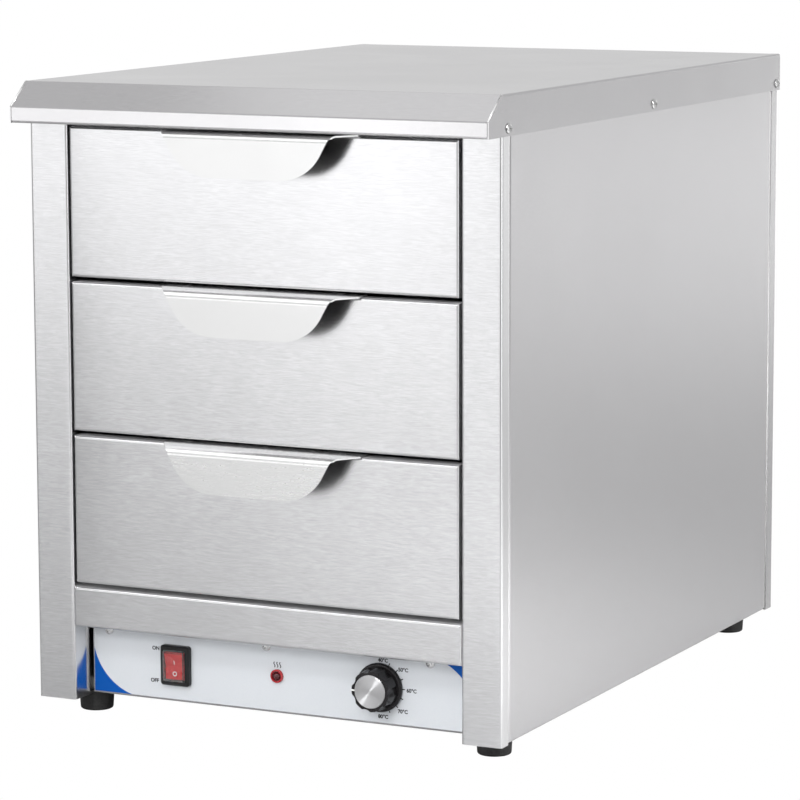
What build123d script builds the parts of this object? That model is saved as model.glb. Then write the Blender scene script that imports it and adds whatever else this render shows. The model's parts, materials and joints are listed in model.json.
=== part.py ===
from build123d import *
import os

# Countertop warming cabinet with three heated drawers, in millimetres.
# The front faces -Y, +X is to the right seen from the front and +Z is up.
# The origin lies under the middle of the cabinet, on the surface that it stands on.

# Main sizes
CABINET_WIDTH = 400.0
CABINET_DEPTH = 570.0  # from the face of the front posts to the lid's rear edge
CABINET_HEIGHT = 500.0
FOOT_HEIGHT = 16.0
LID_OVERHANG = 26.0  # how far the lid's lip stands in front of the posts
GLAND_REACH = 12.0  # how far the cable gland stands behind the lid's rear edge
SHEET = 1.0  # sheet steel thickness
BEND = 2.0  # outer radius of an ordinary fold
FIT = 0.3  # clearance between sheets that slip over each other
PAST = 5.0  # how far a hole is cut beyond the sheet that it goes through

# Lid
LID_SIDE_GAP = 0.3
LID_CREASE = 3.0  # the top's front crease, in front of the posts
LID_SLOPE_DROP = 18.4
LID_LIP = 12.4
LID_LIP_RETURN = 15.0
LID_SEAM = 0.4  # open seam where the sloped front meets a side flange

# Front posts and the rails between them
POST_WIDTH = 33.0
POST_OUTER_RETURN = 12.0
POST_INNER_RETURN = 27.0
POST_BEND = 2.5
RAIL_DEPTH = 21.5
LOWER_RAIL_BOTTOM = 75.0
LOWER_RAIL_HEIGHT = 31.5
TOP_RAIL_BOTTOM = 469.5

# Side, rear and bottom panels
SIDE_FOLD = 15.0
SIDE_BEND = 4.0
REAR_FOLD = 14.0
BASE_FOLD = 12.0
BASE_FRONT = 37.5  # front edge of the base plate, behind the posts' face
VENT_COUNT = 9
VENT_WIDTH = 4.0
VENT_HEIGHT = 30.0
VENT_PITCH = 12.0
VENT_X = -90.0

# Heated chamber
CHAMBER_BACK = 549.0
CHAMBER_FLOOR = 78.0
FLOOR_LIP_DROP = 13.0
FLOOR_TONGUE_HALF = 163.0  # between the side folds of the control panel
PAD_THICKNESS = 15.0
PAD_INSET = 32.0
PAD_BOTTOM = 85.0
PAD_TOP = 464.0

# Control panel
PANEL_SETBACK = 23.5  # behind the posts' face
PANEL_WIDTH = 330.2
PANEL_BOTTOM = 17.4
PANEL_TOP = 104.0
PANEL_FOLD = 14.0
OVERLAY_THICKNESS = 0.3
CONTROL_Z = 46.9
SWITCH_X = -88.5
LAMP_X = 0.0
KNOB_X = 88.5
PANEL_SCREW_X = (-149.5, -9.5, 130.5)
PANEL_SCREW_Z = 69.4

# Drawers, named from the top down by the height of their lower edge
DRAWER_BOTTOMS = {"upper": 350.0, "middle": 230.0, "lower": 110.0}
DRAWER_WIDTH = 330.0
DRAWER_HEIGHT = 116.0
DRAWER_FOLD = 14.0
FRAME_HALF = 154.3  # outer face of a drawer frame's side
FRAME_FOOT = 36.0
FRAME_LEDGE = 102.0  # height of the ledge that the pan hangs on, above the drawer's lower edge
FRAME_LEDGE_WIDTH = 7.0
FRAME_LENGTH = 524.0
FRAME_CORNER_NOTCH = 6.0  # clears the pan's rounded rim corners

# Food pan that hangs in each drawer
PAN_WIDTH = 325.0
PAN_LENGTH = 530.0
PAN_DEPTH = 98.0
PAN_RIM = 10.5
PAN_RIM_DROP = 6.0
PAN_RIM_ROUND = 20.0
PAN_CORNER = 40.0
PAN_DRAFT = 5.0
PAN_BOTTOM_ROUND = 12.0
PAN_SETBACK = 2.0  # from the drawer frame's front plate to the rim

# Folded pull on each drawer
PULL_SHEET = 1.2
PULL_REACH = 23.0
PULL_DROP = 33.0
PULL_BEND = 6.0
PULL_TAIL = 12.0  # part of the pull that lies on the drawer's top fold
PULL_REAR_HALF = 85.0
PULL_FRONT_HALF = 70.0
PULL_TIP_HALF = 52.2
PULL_TIP_ROUND = 38.0
RIVET_X = (-65.0, 0.0, 65.0)
RIVET_SETBACK = 7.0
RIVET_RADIUS = 1.6
RIVET_HEAD_RADIUS = 3.2
RIVET_HEAD = 1.1

# Runners
RUNNER_SHEET = 1.2
RUNNER_LENGTH = 520.0
RUNNER_Z = 55.0  # middle of a runner above the drawer's lower edge
CHANNEL_HALF = 17.5
CHANNEL_DEPTH = 10.0
SLIDER_HALF = 14.0
SLIDER_DEPTH = 9.5
RUNNER_FRONT = 24.0
GLIDE_LENGTH = 110.0
GLIDE_CLEARANCE = 0.1

# Rocker switch, with its own depth measured outwards from the overlay
BEZEL_WIDTH = 25.4
BEZEL_HEIGHT = 31.6
BEZEL_PROUD = 5.0
BEZEL_CHAMFER = 1.2
SWITCH_BODY_WIDTH = 21.0
SWITCH_BODY_HEIGHT = 27.0
SWITCH_BODY_DEPTH = 26.0
WELL_WIDTH = 16.6
WELL_HEIGHT = 22.6
WELL_DEPTH = 9.0
HOOD_WIDTH = 18.4
HOOD_HEIGHT = 24.4
HOOD_SEAT = 2.0
HOOD_PROUD = 7.6
HOOD_WALL = 0.7
HOOD_CORNER = 1.6
HOOD_ROUND = 1.5
HOOD_FIT = 0.1
ROCKER_WIDTH = 16.0
ROCKER_HALF = 10.4
ROCKER_PROUD = 4.9
ROCKER_DISH = 1.3
ROCKER_TILT = 7.0
BLADE = (6.3, 8.0, 0.8)
BLADE_OFFSETS = (-8.0, 0.0, 8.0)

# Pilot lamp
LAMP_RADIUS = 5.3
LAMP_RIM = 2.2  # height of the lens's outer ring
LAMP_RIM_ROUND = 0.6
LAMP_GROOVE_RADIUS = 4.0
LAMP_GROOVE_DEPTH = 1.2
LAMP_DOME_RADIUS = 3.1
LAMP_PROUD = 3.2
LAMP_STEM = 4.4
LAMP_BODY_LENGTH = 22.0
LAMP_TAIL_X = 2.0
LAMP_TAIL_RADIUS = 0.8
LAMP_TAIL = 8.0

# Thermostat and its knob
SPINDLE_RADIUS = 3.0
SPINDLE_CLEARANCE = 0.05
SPINDLE_HOLE = 4.0
SPINDLE_END_GAP = 0.5
THERMOSTAT_SIZE = (46.0, 30.0, 35.0)
THERMOSTAT_BOSS_RADIUS = 9.0
THERMOSTAT_BOSS = 3.0
KNOB_GAP = 0.8
SKIRT_RADIUS = 19.0
SKIRT_THICKNESS = 3.2
GRIP_RADIUS = 16.7
GRIP_NARROWING = 0.94  # size of the grip's front compared with its foot
GRIP_HEIGHT = 14.0
GRIP_ROUND = 0.5
LOBE_COUNT = 7
LOBE_ROUND = 1.6
SCALLOP_RADIUS = 7.0
SCALLOP_CENTRE = 22.3
CAP_RADIUS = 12.8
CAP_THICKNESS = 1.6
CAP_PROUD = 0.7
KNOB_WEB = 1.0  # plastic between the spindle's hole and the cap
BULB_RADIUS = 3.0
BULB_LENGTH = 90.0
BULB_BESIDE = 22.0  # from the element's right run
BULB_RISE = 6.0
BULB_LEAD = 60.0
CAPILLARY_RADIUS = 0.9
CAPILLARY_BEND = 8.0
CAPILLARY_EXIT = (15.0, 8.0)  # beside and above the spindle
CAPILLARY_HOLE = 120.0  # behind the posts' face

# Heating element
ELEMENT_RADIUS = 4.25
ELEMENT_Z = 93.0
ELEMENT_X = (-120.0, -72.0, -24.0, 24.0, 72.0, 120.0)
ELEMENT_FRONT = 70.0
ELEMENT_INNER_FRONT = 110.0
ELEMENT_REAR = 500.0
ELEMENT_TURN = 22.0
ELEMENT_KNEE = 12.0
ELEMENT_LEG = 58.0
CRADLE_Y = (180.0, 400.0)
CRADLE_SHEET = 1.5
CRADLE_HALF = 140.0
CRADLE_FIT = 0.05

# Feet and small hardware
FOOT_X = 174.0
FOOT_Y = (44.0, 530.0)
FOOT_TOP_RADIUS = 14.0
FOOT_BOTTOM_RADIUS = 13.0
FOOT_ROUND = 1.8
FOOT_RECESS_RADIUS = 6.5
FOOT_RECESS = 9.0
SCREW_RADIUS = 1.9
SCREW_HOLE = 2.1
SCREW_LENGTH = 8.0
SCREW_HEAD_RADIUS = 3.5
SCREW_HEAD = 2.2
FOOT_SCREW_RADIUS = 2.4
FOOT_SCREW_HEAD_RADIUS = 5.0
FOOT_SCREW_HEAD = 3.0
FOOT_SCREW_GRIP = 6.0  # shank above the foot
LID_SCREW_Y = (8.0, 285.0, 562.0)
LID_SCREW_Z = 475.0
LID_REAR_SCREW_X = 130.0
GLAND_X = 110.0
GLAND_Z = 47.0
GLAND_BORE = 5.0
GLAND_THREAD = 8.0
GLAND_HEX = 12.0
GLAND_HEX_LENGTH = 5.0
GLAND_DOME_RADIUS = 10.2
GLAND_TIP_RADIUS = 7.0
GLAND_INNER_LENGTH = 12.0
GLAND_NUT_LENGTH = 5.0
BLOCK_SIZE = (42.0, 18.0, 20.0)
BLOCK_X = 110.0
BLOCK_Y = 500.0
BLOCK_POLES = 3
BLOCK_PITCH = 13.0
BLOCK_CHAMFER = 4.0
BLOCK_WIRE_RADIUS = 2.5
BLOCK_SCREW_RADIUS = 2.2

# Places worked out from the sizes
HALF = CABINET_WIDTH / 2
OPENING_HALF = HALF - POST_WIDTH
OVERALL_DEPTH = LID_OVERHANG + CABINET_DEPTH + GLAND_REACH
FRONT = LID_OVERHANG - OVERALL_DEPTH / 2
REAR = FRONT + CABINET_DEPTH
LID_UNDERSIDE = CABINET_HEIGHT - SHEET
CASING_TOP = LID_UNDERSIDE - BEND + SHEET  # posts and rear panel stay below the lid's inner bends
LID_BOTTOM = CABINET_HEIGHT - LID_SLOPE_DROP - LID_LIP
LID_HALF = HALF + LID_SIDE_GAP + SHEET
REAR_FACE = REAR - SHEET - FIT
REAR_EDGE = REAR_FACE - REAR_FOLD
PANEL_FACE = FRONT + PANEL_SETBACK
OVERLAY_FACE = PANEL_FACE - OVERLAY_THICKNESS
BACK = FRONT + CHAMBER_BACK
LOW = (Align.MIN, Align.MIN, Align.MIN)
STAND = (Align.CENTER, Align.CENTER, Align.MIN)


def block(x0, x1, y0, y1, z0, z1):
    """Rectangular solid between two corners."""
    return Pos(x0, y0, z0) * Box(x1 - x0, y1 - y0, z1 - z0, align=LOW)


def rod_x(y, z, radius, x0, x1):
    """Round bar along X."""
    return Pos(x0, y, z) * Rot(0, 90, 0) * Cylinder(radius, x1 - x0, align=STAND)


def rod_y(x, z, radius, y0, y1):
    """Round bar along Y."""
    return Pos(x, y0, z) * Rot(-90, 0, 0) * Cylinder(radius, y1 - y0, align=STAND)


def rod_z(x, y, radius, z0, z1):
    """Round bar along Z."""
    return Pos(x, y, z0) * Cylinder(radius, z1 - z0, align=STAND)


def mirrored(shape):
    """The same shape on the other side of the cabinet."""
    return mirror(shape, about=Plane.YZ)


def folded_tray(width, height, depth, bend=BEND):
    """Sheet panel that faces -Y from Y = 0, standing on Z = 0, with its four edges folded back."""
    outer = Box(width, depth, height, align=(Align.CENTER, Align.MIN, Align.MIN))
    outer = fillet(outer.faces().sort_by(Axis.Y)[0].edges(), bend)
    inner = Box(width - 2 * SHEET, depth, height - 2 * SHEET, align=(Align.CENTER, Align.MIN, Align.MIN))
    inner = fillet(inner.faces().sort_by(Axis.Y)[0].edges(), bend - SHEET)
    return outer - Pos(0, SHEET, SHEET) * inner


def dome_screw(head_radius=SCREW_HEAD_RADIUS, head=SCREW_HEAD, radius=SCREW_RADIUS, length=SCREW_LENGTH):
    """Screw with a domed head on top of Z = 0 and its shank below."""
    dome_radius = (head_radius ** 2 + head ** 2) / (2 * head)
    dome = Pos(0, 0, head - dome_radius) * Sphere(dome_radius)
    dome = dome & Cylinder(head_radius, head, align=STAND)
    shank = Pos(0, 0, -length) * Cylinder(radius, length, align=STAND)
    return dome + shank


# Lid
def lid_flange():
    """Right side flange with the bend that joins it to the top."""
    crease = FRONT - LID_CREASE
    lip = FRONT - LID_OVERHANG
    outline = Polygon(
        (lip, LID_BOTTOM),
        (lip, LID_BOTTOM + LID_LIP),
        (crease, CABINET_HEIGHT),
        (crease + BEND, CABINET_HEIGHT),
        (crease + BEND, LID_BOTTOM),
        align=None,
    )
    nose = Pos(LID_HALF - SHEET, 0, 0) * extrude(Plane.YZ * outline, SHEET, dir=(1, 0, 0))
    height = CABINET_HEIGHT - LID_BOTTOM
    angle = Rectangle(4 * BEND, height, align=(Align.MAX, Align.MAX))
    angle = fillet(angle.vertices().group_by(Axis.Y)[-1].sort_by(Axis.X)[-1:], BEND)
    hollow = Rectangle(4 * BEND, height, align=(Align.MAX, Align.MAX))
    hollow = fillet(hollow.vertices().group_by(Axis.Y)[-1].sort_by(Axis.X)[-1:], BEND - SHEET)
    angle -= Pos(-SHEET, -SHEET) * hollow
    start = crease + BEND / 2
    run = Plane(origin=(LID_HALF, start, CABINET_HEIGHT), x_dir=(1, 0, 0), z_dir=(0, -1, 0))
    return nose + extrude(run * angle, -(REAR - start))


def lid():
    """Top cover: sloped front with a lip, side flanges and a rear flange, folded from one sheet."""
    lip = FRONT - LID_OVERHANG
    section = Polygon(
        (lip, LID_BOTTOM),
        (lip, LID_BOTTOM + LID_LIP),
        (FRONT - LID_CREASE, CABINET_HEIGHT),
        (REAR, CABINET_HEIGHT),
        (REAR, LID_BOTTOM),
        align=None,
    )
    section = fillet(section.vertices(), BEND)
    section -= offset(section, amount=-SHEET)
    open_from = lip + LID_LIP_RETURN
    section -= Pos(open_from, LID_BOTTOM - SHEET) * Rectangle(
        REAR - open_from + SHEET, BEND + SHEET, align=(Align.MIN, Align.MIN)
    )
    skin_half = LID_HALF - SHEET - LID_SEAM
    right_half = extrude(Plane.YZ * section, skin_half, dir=(1, 0, 0)) + lid_flange()
    for y in LID_SCREW_Y:
        right_half -= rod_x(FRONT + y, LID_SCREW_Z, SCREW_HOLE, HALF - PAST, HALF + PAST)
    right_half -= rod_y(LID_REAR_SCREW_X, LID_SCREW_Z, SCREW_HOLE, REAR_FACE - PAST, REAR + PAST)
    return right_half + mirrored(right_half)


def lid_screws():
    """Domed screws through the lid's side and rear flanges."""
    screws = []
    for y in LID_SCREW_Y:
        for side in (-1, 1):
            screws.append(Pos(side * LID_HALF, FRONT + y, LID_SCREW_Z) * Rot(0, side * 90, 0) * dome_screw())
    for x in (-LID_REAR_SCREW_X, LID_REAR_SCREW_X):
        screws.append(Pos(x, REAR, LID_SCREW_Z) * Rot(-90, 0, 0) * dome_screw())
    return Compound(screws)


# Outer casing
def front_post():
    """Right front post: a channel with a short outer and a long inner return."""
    section = Rectangle(POST_WIDTH, POST_INNER_RETURN, align=(Align.MIN, Align.MIN))
    section = fillet(section.vertices().group_by(Axis.Y)[0], POST_BEND)
    hollow = Rectangle(POST_WIDTH - 2 * SHEET, POST_INNER_RETURN, align=(Align.MIN, Align.MIN))
    hollow = fillet(hollow.vertices().group_by(Axis.Y)[0], POST_BEND - SHEET)
    section -= Pos(SHEET, SHEET) * hollow
    section -= Pos(POST_WIDTH / 2, POST_OUTER_RETURN) * Rectangle(
        POST_WIDTH, POST_INNER_RETURN, align=(Align.MIN, Align.MIN)
    )
    post = Pos(OPENING_HALF, FRONT, FOOT_HEIGHT) * extrude(section, CASING_TOP - FOOT_HEIGHT)
    return post - rod_x(FRONT + LID_SCREW_Y[0], LID_SCREW_Z, SCREW_HOLE, HALF - PAST, HALF + PAST)


def side_panel():
    """Right side panel, folded inwards all round."""
    start = FRONT + POST_OUTER_RETURN
    panel = folded_tray(REAR_EDGE - start, LID_UNDERSIDE - FOOT_HEIGHT, SIDE_FOLD, SIDE_BEND)
    panel = Pos(HALF, (start + REAR_EDGE) / 2, FOOT_HEIGHT) * Rot(0, 0, 90) * panel
    return panel - rod_x(FRONT + LID_SCREW_Y[1], LID_SCREW_Z, SCREW_HOLE, HALF - PAST, HALF + PAST)


def rear_panel():
    """Rear panel with vent slots beside the electrical space and a hole for the cable gland."""
    panel = folded_tray(CABINET_WIDTH, CASING_TOP - FOOT_HEIGHT, REAR_FOLD)
    panel = Pos(0, REAR_FACE, FOOT_HEIGHT) * Rot(0, 0, 180) * panel
    slot = extrude(Plane.XZ * SlotOverall(VENT_HEIGHT, VENT_WIDTH, rotation=90), 4 * SHEET, both=True)
    for index in range(VENT_COUNT):
        x = VENT_X + (index - (VENT_COUNT - 1) / 2) * VENT_PITCH
        panel -= Pos(x, REAR_FACE, CONTROL_Z) * slot
    panel -= rod_y(GLAND_X, GLAND_Z, GLAND_THREAD + FIT / 2, REAR_FACE - PAST, REAR_FACE + PAST)
    panel -= rod_x(FRONT + LID_SCREW_Y[2], LID_SCREW_Z, SCREW_HOLE, -HALF - PAST, HALF + PAST)
    for x in (-LID_REAR_SCREW_X, LID_REAR_SCREW_X):
        panel -= rod_y(x, LID_SCREW_Z, SCREW_HOLE, REAR_FACE - PAST, REAR_FACE + PAST)
    return panel


def base_plate():
    """Bottom plate with its edges folded up, drilled for the feet."""
    start = FRONT + BASE_FRONT
    plate = folded_tray(2 * (HALF - SIDE_FOLD), REAR_EDGE - start, BASE_FOLD)
    plate = Pos(0, REAR_EDGE, FOOT_HEIGHT) * Rot(90, 0, 0) * plate
    for x, y in foot_places():
        plate -= rod_z(x, y, FOOT_SCREW_RADIUS + FIT / 2, FOOT_HEIGHT - PAST, FOOT_HEIGHT + PAST)
    return plate


def cross_rail(bottom, height):
    """Folded rail between the two front posts."""
    return Pos(0, FRONT, bottom) * folded_tray(2 * OPENING_HALF, height, RAIL_DEPTH)


# Feet
def foot_places():
    """Centres of the four feet."""
    return [(side * FOOT_X, FRONT + y) for side in (-1, 1) for y in FOOT_Y]


def foot():
    """Rubber foot: a slightly tapered disc with a rounded lower edge and a screw recess."""
    body = Cone(FOOT_BOTTOM_RADIUS, FOOT_TOP_RADIUS, FOOT_HEIGHT, align=STAND)
    body = fillet(body.edges().sort_by(Axis.Z)[0], FOOT_ROUND)
    body -= Cylinder(FOOT_RECESS_RADIUS, FOOT_RECESS, align=STAND)
    return body - Cylinder(FOOT_SCREW_RADIUS + FIT / 2, FOOT_HEIGHT, align=STAND)


def foot_screw():
    """Screw that holds a foot, its head in the recess."""
    length = FOOT_HEIGHT - FOOT_RECESS + FOOT_SCREW_GRIP
    screw = dome_screw(FOOT_SCREW_HEAD_RADIUS, FOOT_SCREW_HEAD, FOOT_SCREW_RADIUS, length)
    return Pos(0, 0, FOOT_RECESS) * Rot(180, 0, 0) * screw


# Heated chamber
def liner_wall():
    """Right wall of the heated chamber, standing on the base plate."""
    low = FOOT_HEIGHT + SHEET
    wall = block(OPENING_HALF, OPENING_HALF + SHEET, FRONT + POST_INNER_RETURN, BACK, low, TOP_RAIL_BOTTOM)
    notch_rear = FRONT + BASE_FRONT + BEND
    notch_top = FOOT_HEIGHT + BASE_FOLD
    notch = block(OPENING_HALF - PAST, OPENING_HALF + PAST, FRONT, notch_rear, 0, notch_top)
    return wall - notch


def chamber_ceiling():
    """Top sheet of the chamber."""
    return block(
        -OPENING_HALF, OPENING_HALF, FRONT + RAIL_DEPTH, BACK, TOP_RAIL_BOTTOM - SHEET, TOP_RAIL_BOTTOM
    )


def chamber_back():
    """Back sheet of the chamber."""
    half = OPENING_HALF + SHEET
    return block(-half, half, BACK, BACK + SHEET, CHAMBER_FLOOR, TOP_RAIL_BOTTOM)


def chamber_floor():
    """Floor of the chamber, with a lip at the front that the control panel is screwed to."""
    top = CHAMBER_FLOOR + SHEET
    clear = PANEL_FACE + PANEL_FOLD + SHEET
    face = PANEL_FACE + SHEET
    floor = block(-OPENING_HALF, OPENING_HALF, clear, BACK, CHAMBER_FLOOR, top)
    floor += block(-FLOOR_TONGUE_HALF, FLOOR_TONGUE_HALF, face, clear, CHAMBER_FLOOR, top)
    floor += block(
        -FLOOR_TONGUE_HALF, FLOOR_TONGUE_HALF, face, face + SHEET, CHAMBER_FLOOR - FLOOR_LIP_DROP, top
    )
    for x in PANEL_SCREW_X:
        floor -= rod_y(x, PANEL_SCREW_Z, SCREW_HOLE, face - PAST, face + PAST)
    for x in (ELEMENT_X[0], ELEMENT_X[-1]):
        floor -= rod_z(x, FRONT + ELEMENT_FRONT, ELEMENT_RADIUS + FIT, CHAMBER_FLOOR - PAST, top + PAST)
    bulb_hole = rod_z(bulb_x(), bulb_front(), CAPILLARY_RADIUS + FIT, CHAMBER_FLOOR - PAST, top + PAST)
    return floor - bulb_hole


def insulation_pads():
    """Mineral wool pads behind the chamber's side walls, back and ceiling."""
    y0 = FRONT + PAD_INSET
    skin = OPENING_HALF + SHEET
    side = block(skin, skin + PAD_THICKNESS, y0, BACK - SHEET, PAD_BOTTOM, PAD_TOP)
    back = block(-OPENING_HALF, OPENING_HALF, BACK + SHEET, BACK + SHEET + PAD_THICKNESS, PAD_BOTTOM, PAD_TOP)
    top = block(
        -OPENING_HALF, OPENING_HALF, y0, BACK - SHEET, TOP_RAIL_BOTTOM, TOP_RAIL_BOTTOM + PAD_THICKNESS
    )
    return Compound([side, mirrored(side), back, top])


def heating_element():
    """Tubular element: one rod bent to and fro, its ends turned down through the floor."""
    near = FRONT + ELEMENT_FRONT
    inner_near = FRONT + ELEMENT_INNER_FRONT
    far = FRONT + ELEMENT_REAR
    ends = [(ELEMENT_X[0], near), (ELEMENT_X[0], far)]
    for left, right in zip(ELEMENT_X[1:-1:2], ELEMENT_X[2:-1:2]):
        ends += [(left, far), (left, inner_near), (right, inner_near), (right, far)]
    ends += [(ELEMENT_X[-1], far), (ELEMENT_X[-1], near)]
    points = [(x, y, ELEMENT_Z) for x, y in ends]
    points = [(ELEMENT_X[0], near, ELEMENT_LEG)] + points + [(ELEMENT_X[-1], near, ELEMENT_LEG)]
    radii = [ELEMENT_KNEE] + [ELEMENT_TURN] * (len(points) - 4) + [ELEMENT_KNEE]
    path = FilletPolyline(*points, radius=radii)
    return sweep(Plane(origin=path @ 0, z_dir=path % 0) * Circle(ELEMENT_RADIUS), path=path)


def element_cradles():
    """Two upright strips on the floor with round notches that carry the element."""
    cradles = []
    low = CHAMBER_FLOOR + SHEET
    top = ELEMENT_Z + ELEMENT_RADIUS / 2
    for y in CRADLE_Y:
        y0 = FRONT + y
        strip = block(-CRADLE_HALF, CRADLE_HALF, y0, y0 + CRADLE_SHEET, low, top)
        for x in ELEMENT_X:
            half = ELEMENT_RADIUS + CRADLE_FIT
            strip -= rod_y(x, ELEMENT_Z, half, y0 - PAST, y0 + PAST)
            strip -= block(x - half, x + half, y0 - PAST, y0 + PAST, ELEMENT_Z, ELEMENT_Z + PAST)
        cradles.append(strip)
    return Compound(cradles)


# Control panel
def switch_cutout(depth_front, depth_rear):
    """Rectangular hole for the switch body."""
    half_width = SWITCH_BODY_WIDTH / 2 + FIT / 2
    half_height = SWITCH_BODY_HEIGHT / 2 + FIT / 2
    return block(
        SWITCH_X - half_width,
        SWITCH_X + half_width,
        depth_front,
        depth_rear,
        CONTROL_Z - half_height,
        CONTROL_Z + half_height,
    )


def control_holes(plate, front, rear):
    """Holes for the switch, the lamp and the thermostat spindle."""
    plate -= switch_cutout(front, rear)
    plate -= rod_y(LAMP_X, CONTROL_Z, LAMP_STEM + FIT / 2, front, rear)
    return plate - rod_y(KNOB_X, CONTROL_Z, SPINDLE_HOLE, front, rear)


def control_panel():
    """Set-back control panel, a tray folded to the rear."""
    panel = folded_tray(PANEL_WIDTH, PANEL_TOP - PANEL_BOTTOM, PANEL_FOLD)
    panel = Pos(0, PANEL_FACE, PANEL_BOTTOM) * panel
    panel = control_holes(panel, PANEL_FACE - PAST, PANEL_FACE + PAST)
    for x in PANEL_SCREW_X:
        panel -= rod_y(x, PANEL_SCREW_Z, SCREW_HOLE, PANEL_FACE - PAST, PANEL_FACE + PAST)
    return panel


def panel_overlay():
    """Printed film on the control panel."""
    half = PANEL_WIDTH / 2 - BEND
    low = PANEL_BOTTOM + BEND
    film = block(-half, half, OVERLAY_FACE, PANEL_FACE, low, PANEL_TOP - BEND)
    film = control_holes(film, OVERLAY_FACE - PAST, PANEL_FACE + PAST)
    for x in PANEL_SCREW_X:
        film -= rod_y(x, PANEL_SCREW_Z, SCREW_HEAD_RADIUS + FIT, OVERLAY_FACE - PAST, PANEL_FACE + PAST)
    return film


def panel_screws():
    """Screws under the lower rail that hold the control panel to the chamber floor's lip."""
    screw = dome_screw()
    return Compound([Pos(x, PANEL_FACE, PANEL_SCREW_Z) * Rot(90, 0, 0) * screw for x in PANEL_SCREW_X])


# Rocker switch
def switch_place():
    """Frame of the switch: local Z points out of the panel and local Y points up."""
    return Pos(SWITCH_X, OVERLAY_FACE, CONTROL_Z) * Rot(90, 0, 0)


def switch_housing():
    """Switch body with its bezel and the well that the rocker sits in."""
    bezel = Box(BEZEL_WIDTH, BEZEL_HEIGHT, BEZEL_PROUD, align=STAND)
    bezel = fillet(bezel.edges().filter_by(Axis.Z), 2 * BEZEL_CHAMFER)
    bezel = chamfer(bezel.faces().sort_by(Axis.Z)[-1].edges(), BEZEL_CHAMFER)
    body = Pos(0, 0, -SWITCH_BODY_DEPTH) * Box(
        SWITCH_BODY_WIDTH, SWITCH_BODY_HEIGHT, SWITCH_BODY_DEPTH, align=STAND
    )
    housing = bezel + body
    well = Box(WELL_WIDTH, WELL_HEIGHT, WELL_DEPTH + BEZEL_PROUD, align=STAND)
    seat = Box(HOOD_WIDTH + 2 * HOOD_FIT, HOOD_HEIGHT + 2 * HOOD_FIT, BEZEL_PROUD, align=STAND)
    housing -= Pos(0, 0, -WELL_DEPTH) * well
    housing -= Pos(0, 0, HOOD_SEAT) * seat
    return switch_place() * housing


def switch_hood():
    """Clear soft hood that keeps splashes off the rocker."""
    height = HOOD_PROUD - HOOD_SEAT
    outer = Box(HOOD_WIDTH, HOOD_HEIGHT, height, align=STAND)
    outer = fillet(outer.edges().filter_by(Axis.Z), HOOD_CORNER)
    outer = fillet(outer.faces().sort_by(Axis.Z)[-1].edges(), HOOD_ROUND)
    inner = Box(HOOD_WIDTH - 2 * HOOD_WALL, HOOD_HEIGHT - 2 * HOOD_WALL, height - HOOD_WALL, align=STAND)
    inner = fillet(inner.edges().filter_by(Axis.Z), HOOD_CORNER - HOOD_WALL)
    return switch_place() * Pos(0, 0, HOOD_SEAT) * (outer - inner)


def switch_rocker():
    """Rocker with a dished face, tilted so that its lower half is pressed in."""
    outline = Polygon(
        (-ROCKER_HALF, ROCKER_PROUD),
        (0, ROCKER_PROUD - ROCKER_DISH),
        (ROCKER_HALF, ROCKER_PROUD),
        (ROCKER_HALF, 0),
        (ROCKER_HALF / 2, -ROCKER_PROUD),
        (-ROCKER_HALF / 2, -ROCKER_PROUD),
        (-ROCKER_HALF, 0),
        align=None,
    )
    rocker = extrude(Plane.YZ * outline, ROCKER_WIDTH / 2, both=True)
    return switch_place() * Rot(ROCKER_TILT, 0, 0) * rocker


def switch_terminals():
    """Three blades at the back of the switch."""
    width, length, thickness = BLADE
    blades = []
    for offset_y in BLADE_OFFSETS:
        blade = Box(width, thickness, length, align=(Align.CENTER, Align.CENTER, Align.MAX))
        blades.append(switch_place() * Pos(0, offset_y, -SWITCH_BODY_DEPTH) * blade)
    return Compound(blades)


# Pilot lamp
def lamp_lens():
    """Red lens: a rounded outer ring, a groove and a domed middle."""
    lens = Cylinder(LAMP_RADIUS, LAMP_RIM, align=STAND)
    lens = fillet(lens.edges().sort_by(Axis.Z)[-1], LAMP_RIM_ROUND)
    floor = LAMP_RIM - LAMP_GROOVE_DEPTH
    lens -= Pos(0, 0, floor) * Cylinder(LAMP_GROOVE_RADIUS, LAMP_GROOVE_DEPTH, align=STAND)
    rise = LAMP_PROUD - floor
    ball = (LAMP_DOME_RADIUS ** 2 + rise ** 2) / (2 * rise)
    middle = Pos(0, 0, LAMP_PROUD - ball) * Sphere(ball)
    lens += middle & (Pos(0, 0, floor) * Cylinder(LAMP_DOME_RADIUS, rise, align=STAND))
    return Pos(LAMP_X, OVERLAY_FACE, CONTROL_Z) * Rot(90, 0, 0) * lens


def lamp_body():
    """Stem of the pilot lamp behind the lens, with two wire tails."""
    rear = OVERLAY_FACE + LAMP_BODY_LENGTH
    body = rod_y(LAMP_X, CONTROL_Z, LAMP_STEM, OVERLAY_FACE, rear)
    for dx in (-LAMP_TAIL_X, LAMP_TAIL_X):
        body += rod_y(LAMP_X + dx, CONTROL_Z, LAMP_TAIL_RADIUS, rear, rear + LAMP_TAIL)
    return body


# Thermostat
def thermostat_body():
    """Capillary thermostat on the back of the control panel."""
    width, depth, height = THERMOSTAT_SIZE
    y0 = PANEL_FACE + SHEET
    body = block(
        KNOB_X - width / 2, KNOB_X + width / 2, y0, y0 + depth, CONTROL_Z - height / 2, CONTROL_Z + height / 2
    )
    body = fillet(body.edges().filter_by(Axis.Y), BEND)
    body += rod_y(KNOB_X, CONTROL_Z, THERMOSTAT_BOSS_RADIUS, y0 + depth, y0 + depth + THERMOSTAT_BOSS)
    return body - rod_y(KNOB_X, CONTROL_Z, SPINDLE_RADIUS + SPINDLE_CLEARANCE, y0 - PAST, y0 + depth / 2)


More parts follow.
